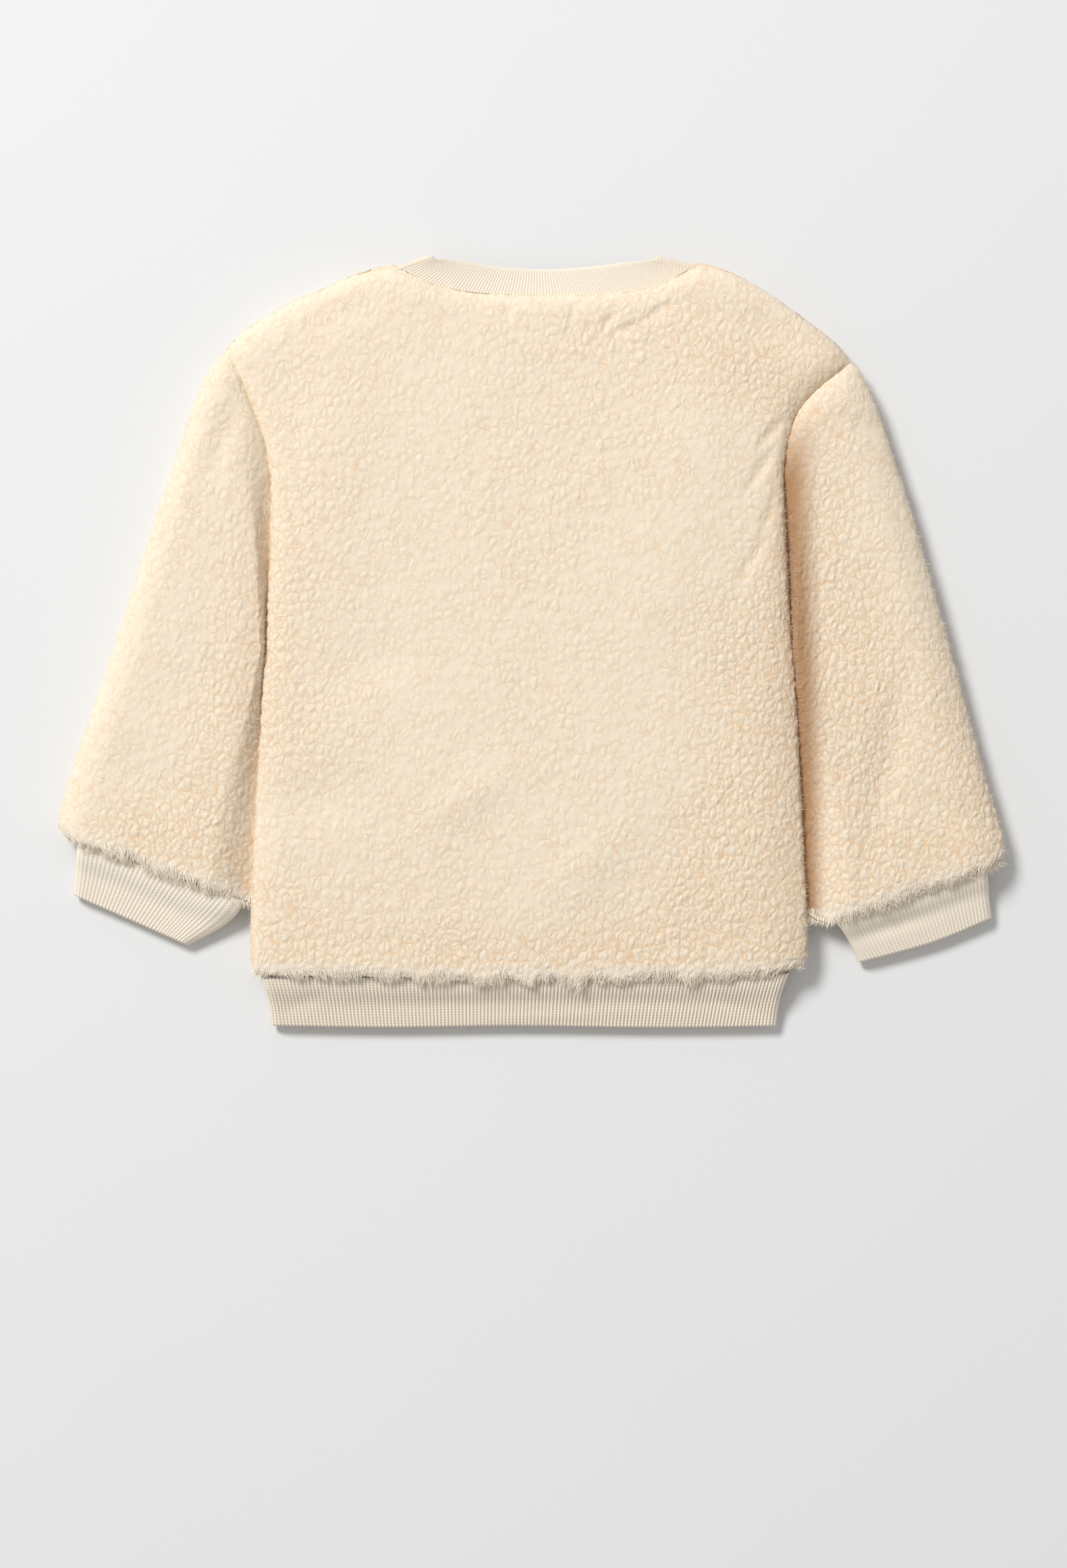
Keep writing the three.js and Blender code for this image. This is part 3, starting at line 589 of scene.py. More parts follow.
def mesh_piece(name, cloth, material, **constants):
    """A smooth mesh object from a cloth's points and faces. Constants are further values of its points."""
    if not np.isfinite(cloth.points).all():
        raise ValueError(f"{name} has points without a place")
    for key, value in constants.items():
        cloth.values[key] = np.full(len(cloth.points), value)
    mesh = bpy.data.meshes.new(name)
    loops = np.concatenate([faces.reshape(-1) for faces in cloth.faces])
    sizes = np.concatenate([np.full(len(faces), faces.shape[1]) for faces in cloth.faces])
    mesh.vertices.add(len(cloth.points))
    mesh.vertices.foreach_set("co", (cloth.points * MM).astype(np.float32).ravel())
    mesh.loops.add(len(loops))
    mesh.loops.foreach_set("vertex_index", loops.astype(np.int32))
    mesh.polygons.add(len(sizes))
    mesh.polygons.foreach_set("loop_start", np.r_[0, np.cumsum(sizes)[:-1]].astype(np.int32))
    mesh.polygons.foreach_set("use_smooth", np.ones(len(sizes), bool))
    mesh.update(calc_edges=True)
    for key, values in cloth.values.items():
        layer = mesh.attributes.new(key, "FLOAT", "POINT")
        layer.data.foreach_set("value", values.astype(np.float32))
    mesh.materials.append(material)
    piece = bpy.data.objects.new(name, mesh)
    bpy.context.scene.collection.objects.link(piece)
    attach(piece, BODY)
    return piece


# Pile: clumps over a fleece piece, and loose strands

CLUMP_LENGTHENING = (1.0, 0.74, 1.0)     # clumps run longer along the body
WARP_SIZE, WARP_REACH = 9.0, 1.5
PATCH_SIZE = 46.0                        # creases come and go over this distance
PATCH_DEPTHS, PATCH_DRIFT = (0.75, 1.0), (-0.5, 0.4)
CLUMP_STEP, CLUMP_LEVEL = 0.3, 0.6       # some clumps stand higher than the others
CLUMP_ROUNDING = 0.5
OUTLINE_ROUGH = 1.4                      # clumps stand higher where the pile turns down
CALM_PILE = 0.72                         # depth of the creases where no spot is stronger
UNDULATION_SIZE, UNDULATION = 24.0, 0.35
RIM_STEPS = 7
RIM_REACH = 0.97                         # share of a rim's quarter round that is made
RIM_BULGE = 1.8
LOBE_SIZE, LOBE_HANG, LOBE_FADE = 7.5, 2.2, 10.0
FINE_LOBES = 0.6                         # height of the half-sized lobes against the large ones
RIM_CALM, RIM_CALM_POWER = 1.02, 3       # the clumps end where a rim has turned under
TIP_REACH, TIP_SHARE = (1, 9), 0.75      # the pile is paler near its lower edges
NECK_BULGE = 1.2
NECK_POINT_BULGE, NECK_POINT_REACH = 2.0, 0.08
SIDE_BULGE = 0.3                         # the body's sides lean over the sleeves by this much


def raise_clumps(cloth, outside, look, seed):
    """Moves a fleece piece's outside in and out by its clumps, and notes how rough its pile is."""
    points = cloth.points
    bent = (points + WARP_REACH * drift(points, WARP_SIZE, seed)) * CLUMP_LENGTHENING
    nearest, second, own = clumps(bent, look.clump_size / MM, seed + 1)
    patches = smoothstep(drift(points, PATCH_SIZE, seed + 3)[:, 0], *PATCH_DRIFT)
    rough = np.clip(CALM_PILE * mixed(*PATCH_DEPTHS, patches) + fold_height(ROUGH_SPOTS, points[:, :2]), 0, 1)
    waves = UNDULATION * drift(points, UNDULATION_SIZE, seed + 4)[:, 0]
    facing = cloth.normals()
    steep = 1 - np.abs(facing[:, 2:])[:, 0]
    rounding = smoothstep(second - nearest, 0, CLUMP_ROUNDING) - 1
    shape = rounding + CLUMP_STEP * (own - CLUMP_LEVEL)
    relief = look.clump_height / MM * (rough + OUTLINE_ROUGH * steep) * shape
    cloth.points = points + facing * ((relief + waves) * outside)[:, None]
    cloth.points[:, 2] = np.maximum(cloth.points[:, 2], FLOOR_CLEAR)
    cloth.values["rough"] = rough * outside
    cloth.values["tint"] = own


ROOT_TIP = 0.5           # how pale a strand is at its root already: paler fibre ends, and painted light against the strands' shade on one another


def blade_cloth(paths, sides, widths, tints):
    """Strands as tapering blades. paths is strands by stations by 3, from root to tip."""
    count, stations = paths.shape[:2]
    taper = np.linspace(1, 0, stations)[None, :, None]
    half = sides[:, None, :] * widths[:, None, None] * taper / 2
    cloth = Cloth()
    left, right = paths - half, paths + half
    points = np.concatenate([left[:, :-1], right[:, :-1], paths[:, -1:]], axis=1)
    per = points.shape[1]
    start = np.arange(count)[:, None] * per
    steps = stations - 1
    quads = [start + np.array([k, steps + k, steps + k + 1, k + 1]) for k in range(steps - 1)]
    tips = start + np.array([steps - 1, 2 * steps - 1, 2 * steps])
    cloth.points = points.reshape(-1, 3)
    cloth.points[:, 2] = np.maximum(cloth.points[:, 2], FLOOR_CLEAR)
    cloth.faces = [np.concatenate(quads), tips]
    along = np.r_[np.linspace(0, 1, stations)[:-1], np.linspace(0, 1, stations)[:-1], 1]
    cloth.values = {
        "tip": np.tile(mixed(ROOT_TIP, 1.0, along), count),
        "tint": np.repeat(tints, per),
        "rough": np.zeros(count * per),
        "hollow": np.zeros(count * per),
    }
    cloth.count = count * per
    return cloth


LOCK_SPACING = 7.0
LOCK_PLACE = (0.15, 0.85)     # where a lock's heart may lie in its own stretch of the edge
LOCK_REACH = (0.55, 1.15)     # a lock's length against the usual
LOCK_LEAN = 0.16
LOCK_WIDTH = 0.42             # of the spacing
LOCK_GATHER = 0.55            # how much a lock's strands run together
STRAND_STATIONS = 4
STRAND_SPIN = 0.2
STRAND_LEAN = 0.16
STRAND_REACH = (0.6, 1.15)
STRAND_LEVEL = (1, 1, 0.25)   # strands leave more level than the pile's edge
STRAND_LIFT, STRAND_ARCH = (0.2, 0.6), 0.4
STRAND_FALL = (0.05, 0.3)
STRAND_ROOT = 0.6             # strands start this deep in the pile
STRAND_WIDTHS = (0.7, 1.3)
AHEAD_STEPS, ASIDE_STEPS = 3, 2
FUZZ_SCATTER, FUZZ_UPRIGHT = 0.75, 0.6
FUZZ_REACH, FUZZ_WIDTHS = (0.5, 1.3), (0.6, 1.2)
FUZZ_BEND, FUZZ_ROOT = 0.35, 0.4
FUZZ_EVERYWHERE, FUZZ_AT_SIDES = 0.25, 2.2


def fringe_strands(grid, normals, edge_rows, outward, count, seed, look):
    """Strands in locks that hang over a rib, from the last rows of a pile's outside grid."""
    draw = np.random.default_rng(seed)
    edge = grid[edge_rows[-1]]
    way = np.r_[0, np.cumsum(apart(edge[1:], edge[:-1]))]
    locks = max(int(way[-1] / LOCK_SPACING), 2)
    hearts = (np.arange(locks) + draw.uniform(*LOCK_PLACE, locks)) / locks * way[-1]
    reach = draw.uniform(*LOCK_REACH, locks)
    lean = draw.normal(0, LOCK_LEAN, locks)
    lock = draw.integers(0, locks, count)
    spot = np.clip(hearts[lock] + draw.normal(0, LOCK_WIDTH * LOCK_SPACING, count), 0, way[-1])
    column = np.clip(np.searchsorted(way, spot), 0, len(way) - 1)
    row = draw.choice(edge_rows, count)
    root = grid[row, column]
    ahead = unit(grid[np.clip(row + AHEAD_STEPS * outward, 0, len(grid) - 1), column] - root)
    level = unit(ahead * STRAND_LEVEL)
    across = unit(np.cross(level, (0, 0, 1)))
    gather = (hearts[lock] - spot) / LOCK_SPACING
    along_edge = unit(grid[row, np.clip(column + ASIDE_STEPS, 0, len(way) - 1)]
                      - grid[row, np.clip(column - ASIDE_STEPS, 0, len(way) - 1)])
    leaning = LOCK_GATHER * gather + lean[lock] + draw.normal(0, STRAND_LEAN, count)
    sideways = along_edge * leaning[:, None]
    length = look.fringe_length / MM * reach[lock] * draw.uniform(*STRAND_REACH, count)
    share = np.linspace(0, 1, STRAND_STATIONS)
    lift = draw.uniform(*STRAND_LIFT, count)
    rise = np.sin(math.pi * share)[None, :] * (lift * length * STRAND_ARCH)[:, None]
    fall = (share ** 2)[None, :] * (draw.uniform(*STRAND_FALL, count) * length)[:, None]
    paths = (root[:, None, :] - STRAND_ROOT * normals[row, column][:, None, :]
             + (level + sideways)[:, None, :] * (length[:, None] * share[None, :])[..., None]
             + normals[row, column][:, None, :] * rise[..., None]
             - np.array((0, 0, 1)) * fall[..., None])
    spin = draw.uniform(-STRAND_SPIN, STRAND_SPIN, (count, 1))
    sides = unit(across + spin * normals[row, column])
    widths = draw.uniform(*STRAND_WIDTHS, count) * look.strand_width / MM
    return blade_cloth(paths, sides, widths, draw.random(count))


def fuzz_strands(points, normals, weights, count, seed, look):
    """Short loose fibres that stand off the pile, most where its sides show."""
    draw = np.random.default_rng(seed)
    picked = draw.choice(len(points), count, p=weights / weights.sum())
    facing = unit(normals[picked] + FUZZ_SCATTER * draw.normal(0, 1, (count, 3)))
    facing = unit(facing + FUZZ_UPRIGHT * normals[picked])
    length = look.fuzz_length / MM * draw.uniform(*FUZZ_REACH, count)
    share = np.linspace(0, 1, STRAND_STATIONS - 1)
    bend = unit(draw.normal(0, 1, (count, 3))) * (FUZZ_BEND * length)[:, None]
    paths = (points[picked][:, None, :] - FUZZ_ROOT * normals[picked][:, None, :]
             + facing[:, None, :] * (length[:, None] * share[None, :])[..., None]
             + bend[:, None, :] * (share ** 2)[None, :, None])
    sides = unit(np.cross(facing, draw.normal(0, 1, (count, 3))))
    widths = draw.uniform(*FUZZ_WIDTHS, count) * look.fuzz_width / MM
    return blade_cloth(paths, sides, widths, draw.random(count))


def hem_lobes(plan, above, seed):
    """How far the pile's lower edge hangs down in lobes, fading out above the edge."""
    level = np.concatenate([plan, 0 * plan[..., :1]], -1).reshape(-1, 3)
    fine = drift(level, LOBE_SIZE / 2, seed + 7)[:, 0]
    wave = drift(level, LOBE_SIZE, seed + 6)[:, 0] + FINE_LOBES * fine
    return LOBE_HANG * wave.reshape(above.shape) * (1 - smoothstep(above, 0, LOBE_FADE))


def rim_shares():
    return np.linspace(0, RIM_REACH, RIM_STEPS + 1)[1:]


def clumps_left(turned):
    """How much of the clumps is left where a rim has turned under by a share."""
    return 1 - np.clip(turned * RIM_CALM, 0, 1) ** RIM_CALM_POWER


def paler(distance):
    return TIP_SHARE * (1 - smoothstep(distance, *TIP_REACH))


SECTION_AT = {"across": 0.32, "along": 0.5, "sleeve": 0.6}    # where the sections lie that space the points
BODY_LINING_STEPS = (40, 48)


def middle_length(plan):
    middle = np.array(0.5)
    return apart(plan(middle, 0.0), plan(middle, 1.0))


def body_panel(panel, look, seed):
    """The back (side 1) or the front (side -1) as a closed wall with clumps outside."""
    side, folds = panel["side"], panel["folds"]
    spacing = getattr(look, panel["spacing"]) / MM
    plan = body_plan(neck_line(panel["neck"]))

    def solid(across, along, fall):
        base = MID_PLANE + side * body_gap(across, along) / 2
        here = plan(across, along)
        wall = SHERPA_WALL + fold_height(folds, here) if side > 0 else base + fold_height(folds, here)
        return base + side * wall * body_left(plan, across, along) * fall

    def upright(share):
        at = np.full_like(share, SECTION_AT["across"])
        return np.stack([plan(share, at)[..., 0], solid(share, at, 1.0)], -1)

    def lengthways(share):
        at = np.full_like(share, SECTION_AT["along"])
        return np.stack([plan(at, share)[..., 1], solid(at, share, 1.0)], -1)

    length = middle_length(plan)
    rim = rim_shares()
    across = evenly(upright, int(length_of(upright) / spacing))
    along = evenly(lengthways, int(length_of(lengthways) / spacing))
    across_all = np.r_[-rim[::-1], across, 1 + rim]
    along_all = np.r_[-rim[::-1], along, 1 + rim]
    a_wide, l_wide = np.meshgrid(across_all, along_all)
    a, l = np.clip(a_wide, 0, 1), np.clip(l_wide, 0, 1)
    side_t = np.maximum(np.maximum(-a_wide, a_wide - 1), 0)
    hem_t, neck_t = np.maximum(-l_wide, 0), np.maximum(l_wide - 1, 0)
    fall = np.sqrt((1 - side_t ** 2) * (1 - hem_t ** 2) * (1 - neck_t ** 2))
    hem_move = FUR_LIP * hem_t ** 2 - RIM_BULGE * np.sin(math.pi * hem_t)
    inward = np.minimum(a, 1 - a)
    in_neck = smoothstep(inward, NECK_FROM - NECK_BLEND[1], NECK_FROM)
    at_neck_point = in_neck * (1 - smoothstep(inward, NECK_FROM, NECK_FROM + NECK_POINT_REACH))
    neck_bulge = NECK_BULGE + NECK_POINT_BULGE * at_neck_point
    neck_move = neck_bulge * np.sin(math.pi * neck_t) - NECK_LIP * neck_t ** 2
    lobes = hem_lobes(plan(a, l), apart(plan(a, l), plan(a, 0 * l)), seed)
    here = plan(a, l + (hem_move + in_neck * neck_move - lobes * (1 - hem_t ** 2)) / length)
    sideways = unit(plan(np.round(a), l) - plan(mixed(a, 0.5, LINE_REACH), l))
    here = here + sideways * (SIDE_BULGE * np.sin(math.pi / 2 * side_t))[..., None]
    grid = lifted(here, solid(a, l, fall))
    cloth = Cloth()
    outer = cloth.add_grid(grid, False, outside=1.0)
    inner_a, inner_l = np.meshgrid(*(np.linspace(0, 1, steps) for steps in BODY_LINING_STEPS))
    inner_plan = plan(inner_a, mixed(FUR_LIP / length, 1 - NECK_LIP / length, inner_l))
    inner_z = MID_PLANE + side * body_gap(inner_a, inner_l) / 2
    inner = cloth.add_grid(lifted(inner_plan, inner_z)[:, ::-1], False, outside=0.0)
    outer_loop, outer_shares = border(outer)
    inner_loop, inner_shares = border(inner[:, ::-1])
    cloth.stitch(outer_loop, outer_shares, inner_loop, inner_shares)
    cloth.finish()
    cloth.turn_outwards()
    outside = cloth.values.pop("outside")
    outside[outer.ravel()] = clumps_left(np.maximum(np.maximum(side_t, neck_t), hem_t)).ravel()
    raise_clumps(cloth, outside, look, seed)
    flat = plan(a, l)
    cloth.note("tip", outer, paler(apart(flat, plan(a, 0.0 * l))))
    # painted shade on the body's right side, which rounds away from the light
    right = 1 - smoothstep(apart(flat, plan(1, l)), 0, SIDE_SHADE_REACH)
    cloth.note("hollow", outer, SIDE_SHADE * right)
    return cloth, outer


def sleeve_plan(side):
    table = SLEEVES[side]
    edge = BODY_EDGES[side]
    seam = stretch(beside(edge, -table["sign"] * ARMHOLE_TUCK), 1, UNDERARM)
    near_body = stretch(beside(edge, -table["sign"] * SIDE_TUCK), UNDERARM, table["body_share"])
    underarm = seam(np.array(1.0))

    def inner(share):
        share = np.asarray(share, float)
        return mixed(near_body(share), underarm, (1 - smoothstep(share, 0, UNDERARM_BLEND))[..., None])

    outer = line_through([seam(np.array(0.0)), *table["outer"]])
    wrist = line_through([table["outer"][-1], *table["end"], inner(1.0)])
    return patch(seam, wrist, outer, inner, SLEEVE_BEND_FADE)


def from_body(side, here):
    """Distance in the plan from points of a sleeve to the body's edge."""
    nearest = np.full(here.shape[:-1], np.inf)
    for point in BODY_EDGES[side](np.linspace(SLEEVES[side]["body_share"], 1, EDGE_STEPS)):
        nearest = np.minimum(nearest, apart(here, point))
    return nearest


def sleeve_left(plan, side, across, along):
    """What is left of a sleeve's thickness at a place, from its distance to every edge."""
    table, here = SLEEVES[side], plan(across, along)
    slope = table["inner_slope"]
    head = thinned(ARMHOLE_EDGE[0], apart(here, plan(across, 0)), ARMHOLE_EDGE[1])
    dipped = mixed(DIP_LEFT, 1, smoothstep(apart(here, plan(across, 0)), 0, slope))
    return (roll(apart(here, plan(0, along)), table["outer_roll"])
            * smoothstep(apart(here, plan(1, along)), -SLOPE_START * slope, slope)
            * mixed(dipped, head, smoothstep(here[..., 1], *DIP_LEVELS))
            * thinned(HEM_ROLL[0], apart(here, plan(across, 1)), HEM_ROLL[1]))


def around(share):
    """Where a share of the way round a flat tube lies: across it, and on its top (1) or underneath (-1)."""
    return 1 - np.abs(1 - 2 * share), np.where(share <= 0.5, 1, -1)


UNDER_FINENESS, ROUND_FINENESS = 0.55, 0.8
SLEEVE_LINING_STEPS = (48, 30)
LINING_START = 0.01
SLIT_ROLL = 0.08


def sleeve(side, look, seed):
    """A sleeve as a flat tube with clumps outside."""
    table, plan = SLEEVES[side], sleeve_plan(side)
    length = middle_length(plan)
    spacing = look.mesh_spacing / MM

    def solid(across, layer, along, fall):
        here = plan(across, along)
        top = SHERPA_WALL + SLEEVE_HOLLOW / 2 + fold_height(SLEEVE_FOLDS[side], here)
        under = MID_PLANE + fold_height(SLEEVE_UNDER_FOLDS[side], here)
        wall = np.where(layer > 0, top, under)
        return MID_PLANE + layer * wall * sleeve_left(plan, side, across, along) * fall

    def section(share):
        across, layer = around(share)
        at = np.full_like(share, SECTION_AT["sleeve"])
        return lifted(plan(across, at), solid(across, layer, at, 1.0))

    def finer_on_top(share):
        return np.where(share < 0.5, 1.0, UNDER_FINENESS)

    steps = int(length_of(section) / spacing * ROUND_FINENESS)
    loop = evenly(section, steps + 1, finer_on_top)[:-1]
    along = np.linspace(0, 1, int(length / spacing))
    along_all = np.r_[along, 1 + rim_shares()]
    s, l_wide = np.meshgrid(loop, along_all)
    across, layer = around(s)
    l = np.clip(l_wide, 0, 1)
    wrist_t = np.maximum(l_wide - 1, 0)
    move = RIM_BULGE * np.sin(math.pi * wrist_t) - FUR_LIP * wrist_t ** 2
    lobes = hem_lobes(plan(across, l), apart(plan(across, l), plan(across, 0 * l + 1)), seed)
    here = plan(across, l + (move + lobes * (1 - wrist_t ** 2)) / length)
    grid = lifted(here, solid(across, layer, l, np.sqrt(1 - wrist_t ** 2)))
    cloth = Cloth()
    outer = cloth.add_grid(grid, True, outside=1.0)
    round_steps, long_steps = SLEEVE_LINING_STEPS
    inner_s = np.linspace(0, 1, round_steps + 1)[:-1]
    inner_loop, inner_l = np.meshgrid(inner_s, np.linspace(LINING_START, 1, long_steps))
    inner_across, inner_layer = around(inner_loop)
    inner_plan = plan(mixed(SLIT_MARGIN, 1 - SLIT_MARGIN, inner_across), inner_l * (1 - FUR_LIP / length))
    slit = (SEAM_GAP + SLEEVE_HOLLOW * 4 * inner_across * (1 - inner_across)) / 2
    inner_z = MID_PLANE + inner_layer * slit * roll(np.minimum(inner_across, 1 - inner_across), SLIT_ROLL)
    inner = cloth.add_grid(lifted(inner_plan, inner_z)[::-1], True, outside=0.0)
    cloth.close_tube(outer, loop, inner, inner_s)
    outside = cloth.values.pop("outside")
    outside[outer.ravel()] = clumps_left(wrist_t).ravel()
    raise_clumps(cloth, outside, look, seed)
    flat = plan(across, l)
    cloth.note("tip", outer, paler(apart(flat, plan(across, 0 * l + 1))))
    # painted shade on the sleeve beside the body's edge, where the edge shades it; it fades out higher up
    reach = mixed(*table["hollow_reach"], l)
    low = 1 - smoothstep(flat[..., 1], *PAINTED_SHADE_LEVELS)
    hollow = (1 - smoothstep(from_body(side, flat) / reach, PAINTED_SHADE_START, 1)) * low
    cloth.note("hollow", outer, table["hollow"] * hollow)
    return cloth, outer


# Rib knit: bands that come down from a seam, and the collar

RIB_SHARPNESS = 0.8
FEWEST_ROWS = 8
NOSE_STEPS = 8               # rows round the fold of a free edge
BAND_LINING_STEPS = (160, 6)
LINING_RIB, LINING_GROOVE = 0.5, 0.3
PAINTED_SEAM_LIGHT_FADE = 1.5              # painted light: bands are painted paler towards their seam, under the shade of the pile's lip
CROWDING, CROWDED = 0.05, (0.7, 1.0)     # the left cuff's ribs crowd together at its inner side


def rib_profile(phase):
    """Height of a rib over its grooves, 0 to 1, from its number along the band."""
    return np.abs(np.sin(math.pi * phase)) ** RIB_SHARPNESS


def drape_height(share):
    line = line_through(BAND_DRAPE)(np.linspace(0, 1, DRAPE_STEPS))
    return np.interp(share, line[:, 0], line[:, 1])


def rib_band(seam, band, folds, look, crowding=None):
    """A flat tube of ribs from its seam to its free edge, folded over there."""
    free, bows = line_through(band["free"]), band["bow"]
    width = apart(seam(0.5), free(0.5))
    ribs = round(float(apart(free(0.0), free(1.0))) / (look.pitch / MM))
    half = ribs * look.steps_a_rib
    shares = np.linspace(0, 0.5, half + 1)
    loop = np.r_[shares, 1 - shares[-2:0:-1]]
    nose = RIB_WALL / 2
    row_count = max(int(width / (look.course / MM)), FEWEST_ROWS)
    rows = np.linspace(BAND_OUTER_START / width, 1 - nose / width, row_count)
    rows_all = np.r_[rows, 1 + np.linspace(0, 1, NOSE_STEPS)[1:]]
    s, v_wide = np.meshgrid(loop, rows_all)
    across, layer = around(s)
    turn = np.maximum(v_wide - 1, 0)
    v = np.minimum(v_wide, rows[-1])

    def line(at, over):
        at_sides = np.abs(2 * over - 1) ** BOW_REACH
        bow = np.where(over < 0.5, *bows) * np.sin(math.pi * at) * at_sides
        shares = np.stack([at + bow, at], -1)
        return mixed(seam(over), free(over), shares)

    span = apart(line(v, 0 * across), line(v, 0 * across + 1))
    rounded = roll(np.minimum(across, 1 - across) * span, RIB_NOSE)
    phase = across * ribs if crowding is None else crowding(across) * ribs
    rib = rib_profile(phase)
    relief = band["relief"] * look.relief / MM * (1 - rib)
    outer_wall = RIB_HOLLOW / 2 + RIB_WALL - relief
    inner_wall = RIB_HOLLOW / 2
    wall = mixed(outer_wall, inner_wall, (1 - np.cos(math.pi * turn)) / 2)
    here = line(v + nose * np.sin(math.pi * turn) / width, across)
    middle_z = drape_height(np.minimum(v, 1))
    soft = np.where(layer > 0, fold_height(folds, here), 0)
    z = middle_z + layer * wall * rounded + soft
    cloth = Cloth()
    course = v * width + np.sin(math.pi * turn / 2)
    # painted light towards the seam, where the pile's lip shades the band
    lift = np.clip(1 - v, 0, 1) ** PAINTED_SEAM_LIGHT_FADE
    outer = cloth.add_grid(lifted(here, np.maximum(z, FLOOR_CLEAR)), True,
                           rib=phase, course=course, groove=1 - rib, lift=lift)
    round_steps, long_steps = BAND_LINING_STEPS
    inner_s = np.linspace(0, 1, round_steps + 1)[:-1]
    inner_loop, inner_v = np.meshgrid(inner_s, np.linspace(0, rows[-1], long_steps))
    inner_across, inner_layer = around(inner_loop)
    inner_span = apart(line(inner_v, 0 * inner_across), line(inner_v, 0 * inner_across + 1))
    margin = (RIB_WALL + RIB_HOLLOW / 2) / inner_span
    inner_plan = line(inner_v, mixed(margin, 1 - margin, inner_across))
    inner_round = roll(np.minimum(inner_across, 1 - inner_across) * inner_span, RIB_NOSE)
    inner_z = drape_height(inner_v) + inner_layer * RIB_HOLLOW / 2 * inner_round
    inner = cloth.add_grid(lifted(inner_plan, inner_z)[::-1], True,
                           rib=LINING_RIB, course=inner_v, groove=LINING_GROOVE)
    cloth.close_tube(outer, loop, inner, inner_s)
    return cloth


def seam_under_pile(plan, sewn, edge, inward):
    """The line that a band is sewn to: under the lip of the pile at an edge of a piece's plan."""
    level = edge + inward * (FUR_LIP - BAND_GAP) / middle_length(plan)

    def seam(over):
        over = np.asarray(over, float)
        return plan(mixed(*sewn, over), 0 * over + level)
    return seam


def hem_band(look):
    seam = seam_under_pile(body_plan(neck_line(BACK_NECK)), HEM["sewn"], 0, 1)
    return rib_band(seam, HEM, BAND_FOLDS["hem"], look)


def cuff_band(side, look):
    def crowded(across):
        return across + CROWDING * smoothstep(across, *CROWDED)

    seam = seam_under_pile(sleeve_plan(side), CUFFS[side]["sewn"], 1, -1)
    crowding = crowded if side == "left" else None
    return rib_band(seam, CUFFS[side], BAND_FOLDS[f"cuff_{side}"], look, crowding)


def collar_lines(share):
    """The collar's back and front lines at shares of its width, each a function of the way across."""
    def seam(rows, inset):
        return stretch(beside(inner_neck_line(rows), -COLLAR_GAP), inset, 1 - inset)

    def line(seam_line, edge_line):
        return lambda across: mixed(seam_line(across), edge_line(across), share)

    back = line(seam(BACK_NECK, COLLAR_INSET["back"]), line_through(COLLAR_BACK_EDGE))
    front = line(seam(FRONT_NECK, COLLAR_INSET["front"]), line_through(COLLAR_FRONT_EDGE))
    return back, front


FOLD_REACH = 0.05            # stretch of a collar line that gives its direction at a fold
FOLD_RIBS = 2
COLLAR_LINING_STEPS = (61, 5)
COLLAR_SIDE_SHARE, COLLAR_FOLD_SHARE = 0.4, 0.1      # of the way round, for stitching
NOSE_COURSE_END = 1.1


def collar_row(share, spread_out, back_shares, front_shares, relief):
    """One row once round the collar: the back, the right fold, the front and the left fold."""
    back, front = collar_lines(share)

    def outward(end, before):
        ways = [unit(line(np.array(end)) - line(np.array(before))) for line in (back, front)]
        return unit(ways[0] + ways[1])

    turns = np.arange(1, COLLAR_FOLD_STEPS) / COLLAR_FOLD_STEPS
    drop = COLLAR_DROOP * share * np.sin(math.pi * back_shares)
    top = np.column_stack([back(back_shares), MID_PLANE + spread_out - relief[0] - drop])
    low = np.column_stack([front(front_shares), MID_PLANE - spread_out + relief[1]])[::-1]

    def fold(start, end, way, sign):
        moved = np.clip(2 * turns - (1 if sign > 0 else 0), 0, 1)[:, None]
        plan = mixed(start, end, moved) + way * (spread_out * np.sin(math.pi * turns))[:, None]
        return np.column_stack([plan, MID_PLANE + sign * spread_out * np.cos(math.pi * turns)])

    right = fold(top[-1, :2], low[0, :2], outward(1.0, 1 - FOLD_REACH), 1)
    left = fold(low[-1, :2], top[0, :2], outward(0.0, FOLD_REACH), -1)
    return np.vstack([top, right, low, left])


